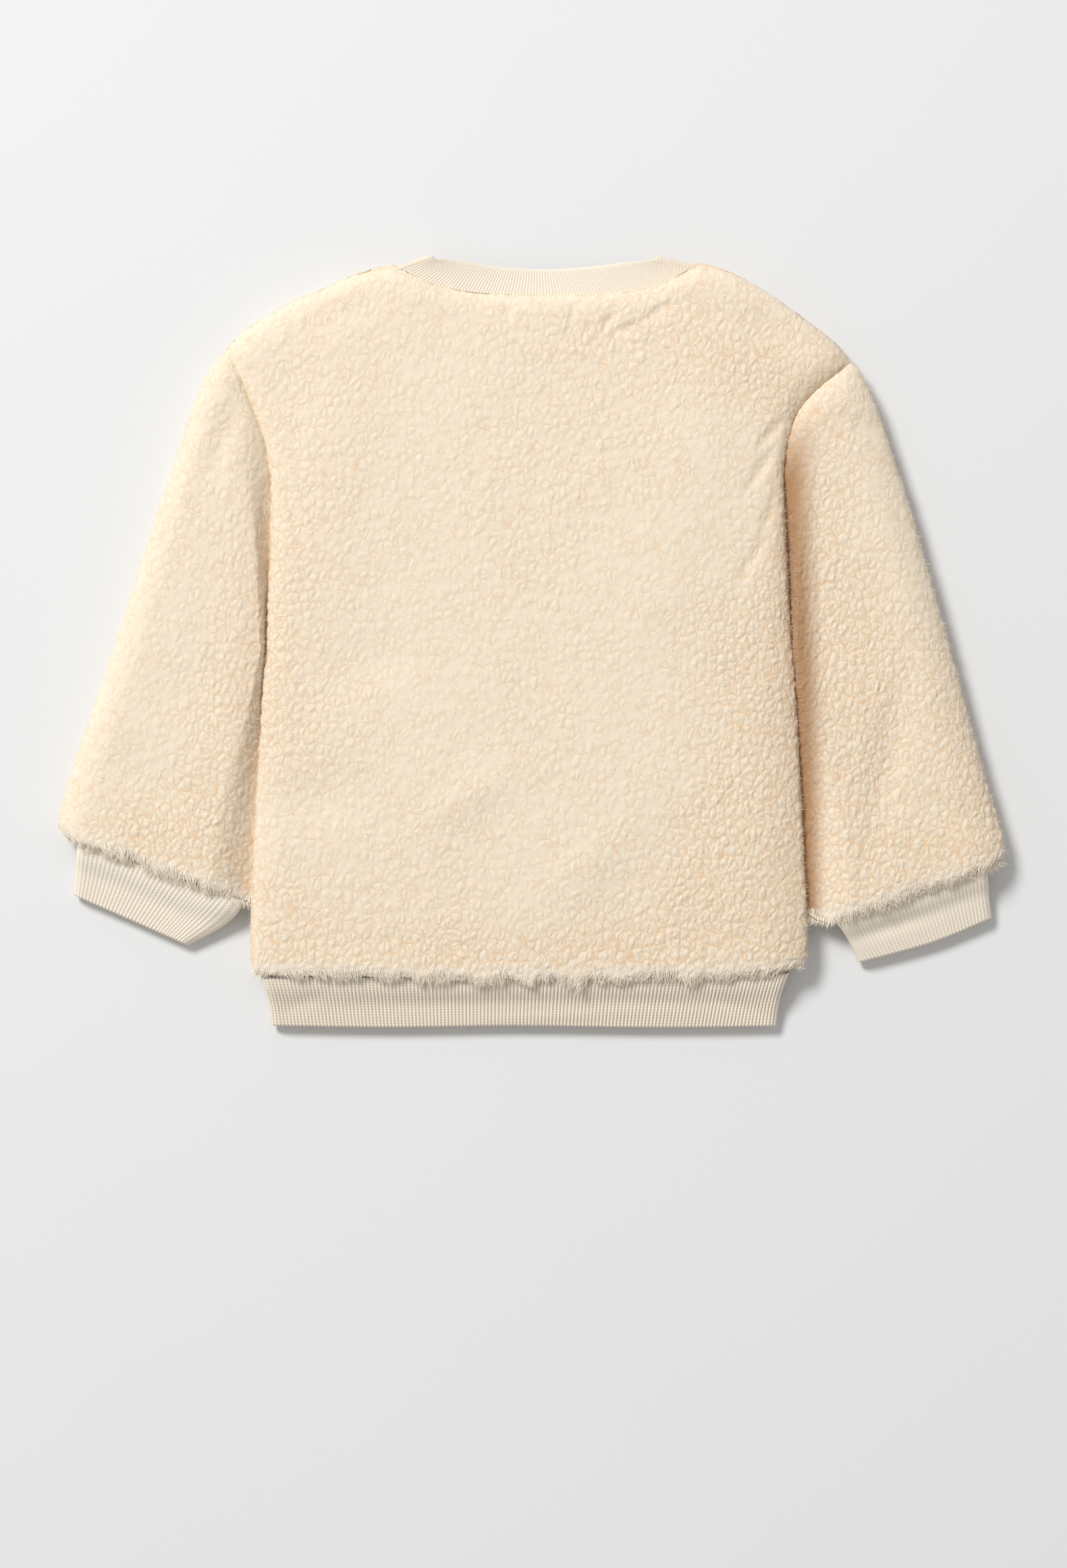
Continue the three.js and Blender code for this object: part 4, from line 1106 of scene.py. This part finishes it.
def collar(look):
    """The collar's ribs all round the neck, folded over at the free edge."""
    pitch = look.pitch / MM
    counts = [round(length_of(neck_line(rows)) / pitch) for rows in (BACK_NECK, FRONT_NECK)]
    back_shares, front_shares = (np.linspace(0, 1, count * look.steps_a_rib + 1) for count in counts)
    phases = [back_shares * counts[0], front_shares * counts[1]]
    reliefs = [COLLAR_RELIEF * look.relief / MM * (1 - rib_profile(phase)) for phase in phases]
    spare = np.linspace(0, FOLD_RIBS, COLLAR_FOLD_STEPS + 1)[1:-1]
    phase = np.r_[phases[0], counts[0] + spare, phases[1][::-1], spare]
    width = apart(*(collar_lines(at)[0](np.array(0.5)) for at in (0, 1)))
    nose = RIB_WALL / 2
    row_count = max(int(width / (look.course / MM)), FEWEST_ROWS)
    rows = np.linspace(COLLAR_OUTER_START, 1 - nose / width, row_count)
    outer_spread, inner_spread = COLLAR_SPREAD + RIB_WALL / 2, COLLAR_SPREAD - RIB_WALL / 2
    grid = [collar_row(at, outer_spread, back_shares, front_shares, reliefs) for at in rows]
    for turn in np.linspace(0, 1, NOSE_STEPS)[1:]:
        bent = (1 - math.cos(math.pi * turn)) / 2
        at = rows[-1] + nose * math.sin(math.pi * turn) / width
        fading = [relief * (1 - bent) for relief in reliefs]
        spread = mixed(outer_spread, inner_spread, bent)
        grid.append(collar_row(at, spread, back_shares, front_shares, fading))
    grid = np.array(grid)
    course = np.r_[rows, np.linspace(rows[-1], NOSE_COURSE_END, NOSE_STEPS - 1)][:, None] * width
    cloth = Cloth()
    # painted shade at the collar's folded ends: a middling groove shade, and less painted light
    folded = np.r_[0 * phases[0], 0 * spare + 1, 0 * phases[1], 0 * spare + 1][None, :]
    groove = mixed(1 - rib_profile(phase)[None, :], COLLAR_FOLD_SHADE, folded)
    outer = cloth.add_grid(grid, True, rib=phase[None, :], course=course, groove=groove, lift=-folded)
    round_steps, deep_steps = COLLAR_LINING_STEPS
    plain = np.linspace(0, 1, round_steps)
    flat_relief = [0 * plain, 0 * plain]
    inside = np.array([collar_row(at, inner_spread, plain, plain, flat_relief)
                       for at in np.linspace(0, rows[-1], deep_steps)])
    inner = cloth.add_grid(inside[::-1], True, rib=LINING_RIB, course=0.0, groove=LINING_GROOVE)

    def shares_of(first, second):
        fold = np.arange(1, COLLAR_FOLD_STEPS) / COLLAR_FOLD_STEPS
        turn = COLLAR_FOLD_SHARE * fold
        far = 0.5 + COLLAR_SIDE_SHARE
        return np.r_[COLLAR_SIDE_SHARE * first, COLLAR_SIDE_SHARE + turn,
                     far - COLLAR_SIDE_SHARE * second[::-1], far + turn]

    outer_shares = shares_of(back_shares, front_shares)
    inner_shares = shares_of(plain, plain)
    cloth.close_tube(outer, outer_shares, inner, inner_shares)
    return cloth


# Finishes


class Wire:
    """A node's output that takes part in Python sums. Each operation adds one Math node."""

    def __init__(self, finish, socket):
        self.finish, self.socket = finish, socket

    def math(self, operation, *others):
        values = dict(enumerate((self, *others)))
        return self.finish.node("ShaderNodeMath", {"operation": operation}, values)

    def reflected(self, operation, first):
        return self.finish.node("ShaderNodeMath", {"operation": operation}, {0: first, 1: self})

    def __add__(self, other):
        return self.math("ADD", other)

    __radd__ = __add__

    def __sub__(self, other):
        return self.math("SUBTRACT", other)

    def __rsub__(self, other):
        return self.reflected("SUBTRACT", other)

    def __mul__(self, other):
        return self.math("MULTIPLY", other)

    __rmul__ = __mul__

    def __abs__(self):
        return self.math("ABSOLUTE")


class Finish:
    """A procedural material that is built node by node."""

    def __init__(self, name):
        self.material = bpy.data.materials.new(name)
        self.material.use_nodes = True
        self.tree = self.material.node_tree
        self.shader = next(n for n in self.tree.nodes if n.type == "BSDF_PRINCIPLED")

    def feed(self, socket, value):
        if isinstance(value, Wire):
            self.tree.links.new(value.socket, socket)
        else:
            socket.default_value = value

    def node(self, kind, settings=None, sockets=None, output=0):
        """Adds a node: its settings first, then the values or links of its sockets."""
        made = self.tree.nodes.new(kind)
        for key, value in (settings or {}).items():
            setattr(made, key, value)
        for key, value in (sockets or {}).items():
            self.feed(made.inputs[key], value)
        return Wire(self, made.outputs[output])

    def noise(self, place, scale, detail, output=0):
        sockets = {"Vector": place, "Scale": scale, "Detail": detail}
        return self.node("ShaderNodeTexNoise", None, sockets, output)

    def bump(self, height, strength, depth):
        sockets = {"Strength": strength, "Distance": depth, "Height": height}
        return self.node("ShaderNodeBump", None, sockets)

    def value(self, name):
        return self.node("ShaderNodeAttribute", {"attribute_name": name}, output="Fac")

    def blend(self, first, second, share):
        sockets = {0: share, 6: first, 7: second}
        return self.node("ShaderNodeMix", {"data_type": "RGBA"}, sockets, output=2)

    def ramp(self, value, low, high):
        """0 below low, 1 above high and a soft step between."""
        sockets = {"Value": value, "From Min": low, "From Max": high}
        return self.node("ShaderNodeMapRange", {"interpolation_type": "SMOOTHSTEP"}, sockets)

    def surface(self, **sockets):
        for name, value in sockets.items():
            self.feed(self.shader.inputs[name.replace("_", " ")], value)
        return self.material


def opaque(colour):
    return (*colour, 1.0)


# Noises of the finishes: scale per metre, detail

PILE_WANDER = (130.0, 2.0)
PILE_MOTTLE = (55.0, 3.0)
PILE_FADE = (170.0, 1.0)
PILE_FIBRE = (1500.0, 4.0)
YARN_FIBRE = (2200.0, 3.0)
YARN_MOTTLE = (60.0, 2.0)
FLOOR_GRAIN = (6.0, 3.0)

# Pile: where it is pebbly, how wide its partings are, and how much each layer counts. The partings are
# painted darker, a painted shade deep between the clumps

PEBBLY = (0.55, 1.15)
FADING = (0.3, 0.6)
CREASE_WIDTH, FINE_CREASE_WIDTH, CLUMP_SLOPE = 0.1, 0.12, 0.42
CREASE_SHARE, FINE_CREASE_SHARE, LEAST_CREASE = 0.8, 0.6, 0.1
MOTTLE_SHARE, TINT_SHARE, TIP_COLOUR_SHARE = 0.7, 0.3, 0.8
PEBBLE_HEIGHT, FIBRE_HEIGHT, PILE_BUMP = 0.6, 0.12, 0.8
PILE_SHEEN, PILE_SHEEN_ROUGHNESS, PILE_SPECULAR = 0.2, 0.6, 0.1
PILE_ROUGHNESS, PILE_ROUGHNESS_CHANGE = 0.88, 0.1

# Rib: the stitches' slant, and how much each layer counts. The grooves and the stitches' low sides take a
# painted shade

STITCH_SLANT, STITCH_SHADE = 1.3, 0.22
YARN_MOTTLE_SHARE = 0.5
# Painted light lifts a band's yarn towards the lighter yarn and weakens its painted groove shade
GROOVE_SHARE, PAINTED_LIGHT_GROOVE = 0.8, 0.4
PAINTED_LIGHT_SHARE, PAINTED_SEAM_LIGHT_SHARE = 0.7, 0.5
STITCH_HEIGHT, YARN_HEIGHT, YARN_BUMP, YARN_BUMP_DEPTH = 0.35, 0.5, 0.6, 0.0003
YARN_SHEEN, YARN_SPECULAR = 0.1, 0.15
YARN_ROUGHNESS, YARN_ROUGHNESS_CHANGE = 0.8, 0.12

# Floor

FLOOR_SHADE = 0.985
FLOOR_ROUGHNESS, FLOOR_ROUGHNESS_CHANGE = 0.75, 0.1


def pile_partings(finish, place, size):
    """Distance to the nearest parting between clumps of the pile, as a share of a clump."""
    settings = {"feature": "DISTANCE_TO_EDGE"}
    return finish.node("ShaderNodeTexVoronoi", settings, {"Vector": place, "Scale": 1 / size}, "Distance")


def pile_finish(look):
    finish = Finish("sherpa_pile")
    place = finish.node("ShaderNodeTexCoord", output="Object")
    rough, tip, tint = finish.value("rough"), finish.value("tip"), finish.value("tint")
    wander = finish.noise(place, *PILE_WANDER, "Color")
    bent = finish.node("ShaderNodeVectorMath", {"operation": "MULTIPLY_ADD"},
                       {0: wander, 1: (look.clump_drift,) * 3, 2: place})
    bent = finish.node("ShaderNodeVectorMath", {"operation": "MULTIPLY"}, {0: bent, 1: CLUMP_LENGTHENING})
    mottle, fade, fibre = (finish.noise(place, *kind) for kind in (PILE_MOTTLE, PILE_FADE, PILE_FIBRE))
    clump, pebble = (pile_partings(finish, bent, size) for size in (look.parting_size, look.pebble_size))
    pebbly = finish.ramp(rough, *PEBBLY)
    shown = finish.ramp(fade, *FADING) * (1 - pebbly) + pebbly
    # painted shade in the partings between clumps, most where the pile is rough
    crease = (1 - finish.ramp(clump, 0.0, CREASE_WIDTH)) * shown
    fine_crease = (1 - finish.ramp(pebble, 0.0, FINE_CREASE_WIDTH)) * pebbly
    painted_crease_shade = (crease * CREASE_SHARE + fine_crease * FINE_CREASE_SHARE) * (rough + LEAST_CREASE)
    drifting = mottle * MOTTLE_SHARE + tint * TINT_SHARE
    colour = finish.blend(opaque(look.cream), opaque(look.warm_cream), drifting)
    colour = finish.blend(colour, opaque(look.crease_shade_colour), painted_crease_shade)
    colour = finish.blend(colour, opaque(look.tip_colour), tip * TIP_COLOUR_SHARE)
    # painted shade beside the body
    colour = finish.blend(colour, opaque(look.hollow_colour), finish.value("hollow"))
    clump_height = finish.ramp(clump, 0.0, CLUMP_SLOPE) * shown
    pebble_height = finish.ramp(pebble, 0.0, CLUMP_SLOPE) * pebbly * PEBBLE_HEIGHT
    height = (clump_height + pebble_height) * rough + fibre * FIBRE_HEIGHT
    bump = finish.bump(height, PILE_BUMP, look.parting_depth)
    roughness = PILE_ROUGHNESS + PILE_ROUGHNESS_CHANGE * fibre
    return finish.surface(Sheen_Weight=PILE_SHEEN, Sheen_Roughness=PILE_SHEEN_ROUGHNESS,
                          Specular_IOR_Level=PILE_SPECULAR, Base_Color=colour, Roughness=roughness,
                          Normal=bump)


def rib_finish(look):
    finish = Finish("rib_knit")
    place = finish.node("ShaderNodeTexCoord", output="Object")
    rib, course, groove = finish.value("rib"), finish.value("course"), finish.value("groove")
    lean = abs(rib.math("FRACT") - 0.5)
    stitch = ((course * (MM / look.stitch) + lean * STITCH_SLANT) * (2 * math.pi)).math("SINE")
    fibre, mottle = (finish.noise(place, *kind) for kind in (YARN_FIBRE, YARN_MOTTLE))
    pale = finish.value("pale")
    # painted shade in the grooves between ribs and on each stitch's low side, weaker where the band is
    # painted lighter
    shaded = groove * (GROOVE_SHARE - pale * PAINTED_LIGHT_GROOVE) + (0.5 - stitch * 0.5) * STITCH_SHADE
    # painted light: each band is painted lighter, and more so towards its seam, against the shade that falls
    # on it
    paled = (pale + finish.value("lift") * PAINTED_SEAM_LIGHT_SHARE) * PAINTED_LIGHT_SHARE
    colour = finish.blend(opaque(look.yarn), opaque(look.yarn_dark), mottle * YARN_MOTTLE_SHARE)
    colour = finish.blend(colour, opaque(look.groove_shade_colour), shaded)
    colour = finish.blend(colour, opaque(look.pale_yarn), paled)
    bump = finish.bump(stitch * STITCH_HEIGHT + fibre * YARN_HEIGHT, YARN_BUMP, YARN_BUMP_DEPTH)
    roughness = YARN_ROUGHNESS + YARN_ROUGHNESS_CHANGE * fibre
    return finish.surface(Sheen_Weight=YARN_SHEEN, Specular_IOR_Level=YARN_SPECULAR, Base_Color=colour,
                          Roughness=roughness, Normal=bump)


def floor_finish(look):
    finish = Finish("pale_floor")
    grain = finish.noise(finish.node("ShaderNodeTexCoord", output="Object"), *FLOOR_GRAIN)
    shade = tuple(FLOOR_SHADE * channel for channel in look.floor_colour)
    colour = finish.blend(opaque(look.floor_colour), opaque(shade), grain)
    roughness = FLOOR_ROUGHNESS + FLOOR_ROUGHNESS_CHANGE * grain
    return finish.surface(Base_Color=colour, Roughness=roughness)


# Settings


def length_setting(name, description, default):
    return FloatProperty(name=name, description=description, default=default, unit="LENGTH", min=0.0)


def colour_setting(name, description, default):
    return FloatVectorProperty(name=name, description=description, default=default, subtype="COLOR",
                               size=3, min=0.0, max=1.0)


class PileSettings(bpy.types.PropertyGroup):
    """Sizes and colours of the sherpa pile"""

    mesh_spacing: length_setting("Mesh spacing", "Distance between points on the sides that show", 0.00103)
    hidden_spacing: length_setting("Hidden spacing", "Distance between points underneath", 0.002)
    clump_size: length_setting("Clump size", "Usual width of a raised clump of pile", 0.0046)
    clump_height: length_setting("Clump height", "Height of a raised clump", 0.00037)
    clump_drift: length_setting("Clump drift", "How far the partings wander", 0.0024)
    parting_size: length_setting("Parting size", "Distance between partings in the pile", 0.0037)
    pebble_size: length_setting("Pebble size", "Distance between the finer partings of rough pile", 0.0028)
    parting_depth: length_setting("Parting depth", "Depth of the partings", 0.00046)
    fringe_length: length_setting("Fringe length", "Usual length of the pile that hangs over a rib", 0.0060)
    strand_width: length_setting("Strand width", "Width of a strand of the fringe", 0.00045)
    fuzz_length: length_setting("Fuzz length", "Usual length of a loose fibre", 0.0022)
    fuzz_width: length_setting("Fuzz width", "Width of a loose fibre", 0.00016)
    cream: colour_setting("Cream", "Colour of the pile", (0.895, 0.785, 0.628))
    warm_cream: colour_setting("Warm cream", "Colour that the pile drifts to", (0.885, 0.755, 0.585))
    # painted shade deep between the clumps
    crease_shade_colour: colour_setting("Crease colour", "Colour deep between clumps", (0.82, 0.60, 0.39))
    tip_colour: colour_setting("Tip colour", "Colour of the pile's ends at the hem and cuffs",
                               (1.0, 0.93, 0.81))
    # painted shade: the deep brown that the sleeves are painted beside the body, and the body's right side
    hollow_colour: colour_setting("Hollow colour", "Colour deep beside the body", (0.40, 0.205, 0.085))


class RibSettings(bpy.types.PropertyGroup):
    """Sizes and colours of the rib knit"""

    pitch: length_setting("Rib pitch", "One rib and the groove beside it", 0.00175)
    relief: length_setting("Rib relief", "Depth of the groove between ribs", 0.00065)
    steps_a_rib: IntProperty(name="Steps a rib", description="Mesh columns across one rib", default=6, min=4)
    course: length_setting("Row spacing", "Distance between mesh rows along a rib", 0.0011)
    stitch: length_setting("Stitch height", "Height of one knit stitch", 0.00125)
    yarn: colour_setting("Yarn", "Colour of the ribs", (0.99, 0.885, 0.755))
    yarn_dark: colour_setting("Dark yarn", "Colour that the ribs drift to", (0.96, 0.845, 0.705))
    # painted light: the lighter yarn that the bands are painted towards, against their shade
    pale_yarn: colour_setting("Pale yarn", "Colour that the collar and the cuffs tend to", (1.0, 0.92, 0.79))
    # painted shade between the ribs
    groove_shade_colour: colour_setting("Groove colour", "Colour between the ribs", (0.56, 0.43, 0.31))


class StageSettings(bpy.types.PropertyGroup):
    """Camera, lights and floor"""

    camera_height: length_setting("Camera height", "Distance from the camera to the cloth", 1.8)
    floor_colour: colour_setting("Floor colour", "Colour of the pale floor", (0.825, 0.832, 0.838))
    key_power: FloatProperty(name="Key power", description="Power of the soft main light", default=212.0,
                             unit="POWER")
    fill: FloatProperty(name="Fill", description="Strength of the light from all round", default=0.44,
                        subtype="FACTOR")


# Operators


def dress(piece, node, slot, flat, area, rests_on, extras=()):
    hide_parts(node)
    for extra in extras:
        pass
    list(extras)
    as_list(rests_on)


def add_strands(name, cloths, material):
    """One object from several sets of strands."""
    whole = Cloth()
    whole.points = np.vstack([cloth.points for cloth in cloths])
    starts = np.cumsum([0, *(cloth.count for cloth in cloths)])
    whole.faces = [faces + start for cloth, start in zip(cloths, starts) for faces in cloth.faces]
    whole.values = {key: np.concatenate([cloth.values[key] for cloth in cloths])
                    for key in cloths[0].values}
    return mesh_piece(name, whole, material)


def outside_parts(cloth, outer):
    """A fleece piece's outside grid, its normals there, and how much loose fuzz each point takes."""
    normals = cloth.normals()
    grid, facing = cloth.points[outer], normals[outer]
    sideways = 1 - np.abs(facing[..., 2])
    return grid, facing, FUZZ_EVERYWHERE + FUZZ_AT_SIDES * sideways ** 2


MADE = {}


def finish_by(make, look):
    """The material that a function makes, made the first time that it is asked for."""
    if make not in MADE:
        MADE[make] = make(look)
    return MADE[make]


def dress_in_pile(node, cloth, outer, fringe, fuzz, look, sheet):
    """Adds a fleece piece with its loose fuzz, by count and seed, and its fringe if it has one."""
    material = finish_by(pile_finish, look)
    piece = mesh_piece(f"{node}_pile", cloth, material)
    grid, facing, weights = outside_parts(cloth, outer)
    strands = [fringe_strands(grid, facing, *fringe, look)] if fringe else []
    strands.append(fuzz_strands(grid.reshape(-1, 3), facing.reshape(-1, 3), weights.ravel(), *fuzz, look))
    loose = add_strands(f"{node}_fuzz", strands, material)
    dress(piece, node, "sherpa", *sheet, [loose])


FRINGE_ROWS = 6          # rows of the grid above a rim that strands grow from
BODY_FLAT = (0.306, 0.352)
BODY_PANELS = {
    "back_panel": {
        "side": 1, "neck": BACK_NECK, "folds": BACK_FOLDS, "spacing": "mesh_spacing", "seed": 11,
        "fringe": (5600, 21), "fuzz": (16000, 22), "area": 0.0885, "rests_on": "front_panel_pile",
    },
    "front_panel": {
        "side": -1, "neck": FRONT_NECK, "folds": FRONT_FOLDS, "spacing": "hidden_spacing", "seed": 12,
        "fringe": None, "fuzz": (6000, 23), "area": 0.084, "rests_on": "floor",
    },
}


class PULLOVER_OT_body(bpy.types.Operator):
    """Dresses the back and the front in pile"""

    bl_idname = "pullover.body"
    bl_label = "Body panels"

    def execute(self, context):
        look = context.scene.pullover_pile
        for node, panel in BODY_PANELS.items():
            cloth, outer = body_panel(panel, look, panel["seed"])
            hem_rows = np.arange(RIM_STEPS + FRINGE_ROWS, 1, -1)
            fringe = (hem_rows, -1, *panel["fringe"]) if panel["fringe"] else None
            sheet = (BODY_FLAT, panel["area"], [panel["rests_on"]])
            dress_in_pile(node, cloth, outer, fringe, panel["fuzz"], look, sheet)
        return {"FINISHED"}


SLEEVE_FLAT = (0.29, 0.26)
SLEEVE_AREA = 0.0365
SLEEVE_FRINGE, SLEEVE_FUZZ = 4400, 11000
SLEEVE_SEEDS = {"left": (31, 41, 51), "right": (32, 42, 52)}     # clumps, fringe, fuzz


class PULLOVER_OT_sleeves(bpy.types.Operator):
    """Dresses both sleeves in pile"""

    bl_idname = "pullover.sleeves"
    bl_label = "Sleeves"

    def execute(self, context):
        look = context.scene.pullover_pile
        for side, (clump_seed, fringe_seed, fuzz_seed) in SLEEVE_SEEDS.items():
            cloth, outer = sleeve(side, look, clump_seed)
            last = len(outer) - 1
            wrist_rows = np.arange(last - RIM_STEPS - FRINGE_ROWS, last - 1)
            fringe = (wrist_rows, 1, SLEEVE_FRINGE, fringe_seed)
            sheet = (SLEEVE_FLAT, SLEEVE_AREA, ["floor"])
            dress_in_pile(f"sleeve_{side}", cloth, outer, fringe, (SLEEVE_FUZZ, fuzz_seed), look, sheet)
        return {"FINISHED"}


# Each band's yarn is painted lighter by a share of its own, a painted light against the shade on it
def dress_in_rib(node, cloth, pale, look, sheet):
    piece = mesh_piece(f"{node}_rib", cloth, finish_by(rib_finish, look), pale=pale)
    dress(piece, node, "rib_knit", *sheet)


# Each band's third value is its painted light, how much lighter its yarn is painted
HEM_FLAT, HEM_AREA, HEM_PAINTED_LIGHT = (0.53, 0.05), 0.0155, 0.3
CUFF_FLAT, CUFF_AREA, CUFF_PAINTED_LIGHT = (0.16, 0.055), 0.0052, 0.6


class PULLOVER_OT_bands(bpy.types.Operator):
    """Knits the hem band and the cuffs"""

    bl_idname = "pullover.bands"
    bl_label = "Hem band and cuffs"

    def execute(self, context):
        look = context.scene.pullover_rib
        dress_in_rib("hem_band", hem_band(look), HEM_PAINTED_LIGHT, look, (HEM_FLAT, HEM_AREA, ["floor"]))
        for side in CUFFS:
            sheet = (CUFF_FLAT, CUFF_AREA, ["floor"])
            dress_in_rib(f"cuff_{side}", cuff_band(side, look), CUFF_PAINTED_LIGHT, look, sheet)
        return {"FINISHED"}


# The collar's third value is its painted light, how much lighter its yarn is painted
COLLAR_FLAT, COLLAR_AREA, COLLAR_PAINTED_LIGHT = (0.37, 0.04), 0.0072, 0.6


class PULLOVER_OT_collar(bpy.types.Operator):
    """Knits the collar"""

    bl_idname = "pullover.collar"
    bl_label = "Collar"

    def execute(self, context):
        look = context.scene.pullover_rib
        sheet = (COLLAR_FLAT, COLLAR_AREA, ["front_panel_pile"])
        dress_in_rib("collar", collar(look), COLLAR_PAINTED_LIGHT, look, sheet)
        return {"FINISHED"}


PHOTO_PX = (1581, 2324)
PHOTO_ORIGIN_PX = (787.5, 950.0)
MM_A_PX = 0.33
SENSOR = 36.0
FLOOR_SIZE = 8.0
FLOOR_LEVEL = -0.0003
KEY_PLACE = (-2.4, 2.75, 3.6)
KEY_SIZE = 1.6
WORLD_COLOUR = (1.0, 0.985, 0.965, 1.0)


class PULLOVER_OT_stage(bpy.types.Operator):
    """Sets up the floor, the light and the camera straight above"""

    bl_idname = "pullover.stage"
    bl_label = "Stage"

    def execute(self, context):
        scene, look = context.scene, context.scene.pullover_stage
        half = FLOOR_SIZE / 2
        mesh = bpy.data.meshes.new("floor")
        corners = [(-half, -half, 0), (half, -half, 0), (half, half, 0), (-half, half, 0)]
        mesh.from_pydata(corners, [], [(0, 1, 2, 3)])
        mesh.materials.append(floor_finish(look))
        floor = bpy.data.objects.new("floor", mesh)
        floor.location.z = FLOOR_LEVEL
        scene.collection.objects.link(floor)

        lamp = bpy.data.lights.new("key", "AREA")
        lamp.shape, lamp.size, lamp.energy = "DISK", KEY_SIZE, look.key_power
        key = bpy.data.objects.new("key", lamp)
        key.location = KEY_PLACE
        key.rotation_euler = (-Vector(KEY_PLACE)).to_track_quat("-Z", "Y").to_euler()
        scene.collection.objects.link(key)

        world = bpy.data.worlds.new("soft_room")
        world.use_nodes = True
        sky = world.node_tree.nodes["Background"]
        sky.inputs["Color"].default_value = WORLD_COLOUR
        sky.inputs["Strength"].default_value = look.fill
        scene.world = world
        scene.view_settings.view_transform = "Standard"

        centre = [(PHOTO_PX[0] / 2 - PHOTO_ORIGIN_PX[0]) * MM_A_PX * MM,
                  (PHOTO_ORIGIN_PX[1] - PHOTO_PX[1] / 2) * MM_A_PX * MM]
        lens = bpy.data.cameras.new("overhead")
        lens.sensor_width = SENSOR
        lens.lens = SENSOR * look.camera_height / (PHOTO_PX[1] * MM_A_PX * MM)
        camera = bpy.data.objects.new("overhead", lens)
        camera.location = (*centre, look.camera_height + MID_PLANE * MM)
        scene.collection.objects.link(camera)
        scene.camera = camera
        return {"FINISHED"}


class PULLOVER_PT_sidebar(bpy.types.Panel):
    """Lists what the pullover is made of"""

    bl_label = "Pullover"
    bl_space_type = "VIEW_3D"
    bl_region_type = "UI"
    bl_category = "Pullover"

    def draw(self, context):
        for operator in OPERATORS:
            self.layout.operator(operator.bl_idname)


OPERATORS = (
    PULLOVER_OT_stage, PULLOVER_OT_body, PULLOVER_OT_sleeves, PULLOVER_OT_bands, PULLOVER_OT_collar,
)
GROUPS = {"pullover_pile": PileSettings, "pullover_rib": RibSettings, "pullover_stage": StageSettings}
CLASSES = (*GROUPS.values(), *OPERATORS, PULLOVER_PT_sidebar)


def register():
    for part in CLASSES:
        bpy.utils.register_class(part)
    for name, group in GROUPS.items():
        setattr(bpy.types.Scene, name, PointerProperty(type=group))


def unregister():
    for name in GROUPS:
        delattr(bpy.types.Scene, name)
    for part in reversed(CLASSES):
        bpy.utils.unregister_class(part)


def main():
    register()
    bpy.ops.pullover.stage()
    bpy.ops.pullover.body()
    bpy.ops.pullover.sleeves()
    bpy.ops.pullover.bands()
    bpy.ops.pullover.collar()


if __name__ == "__main__":
    main()
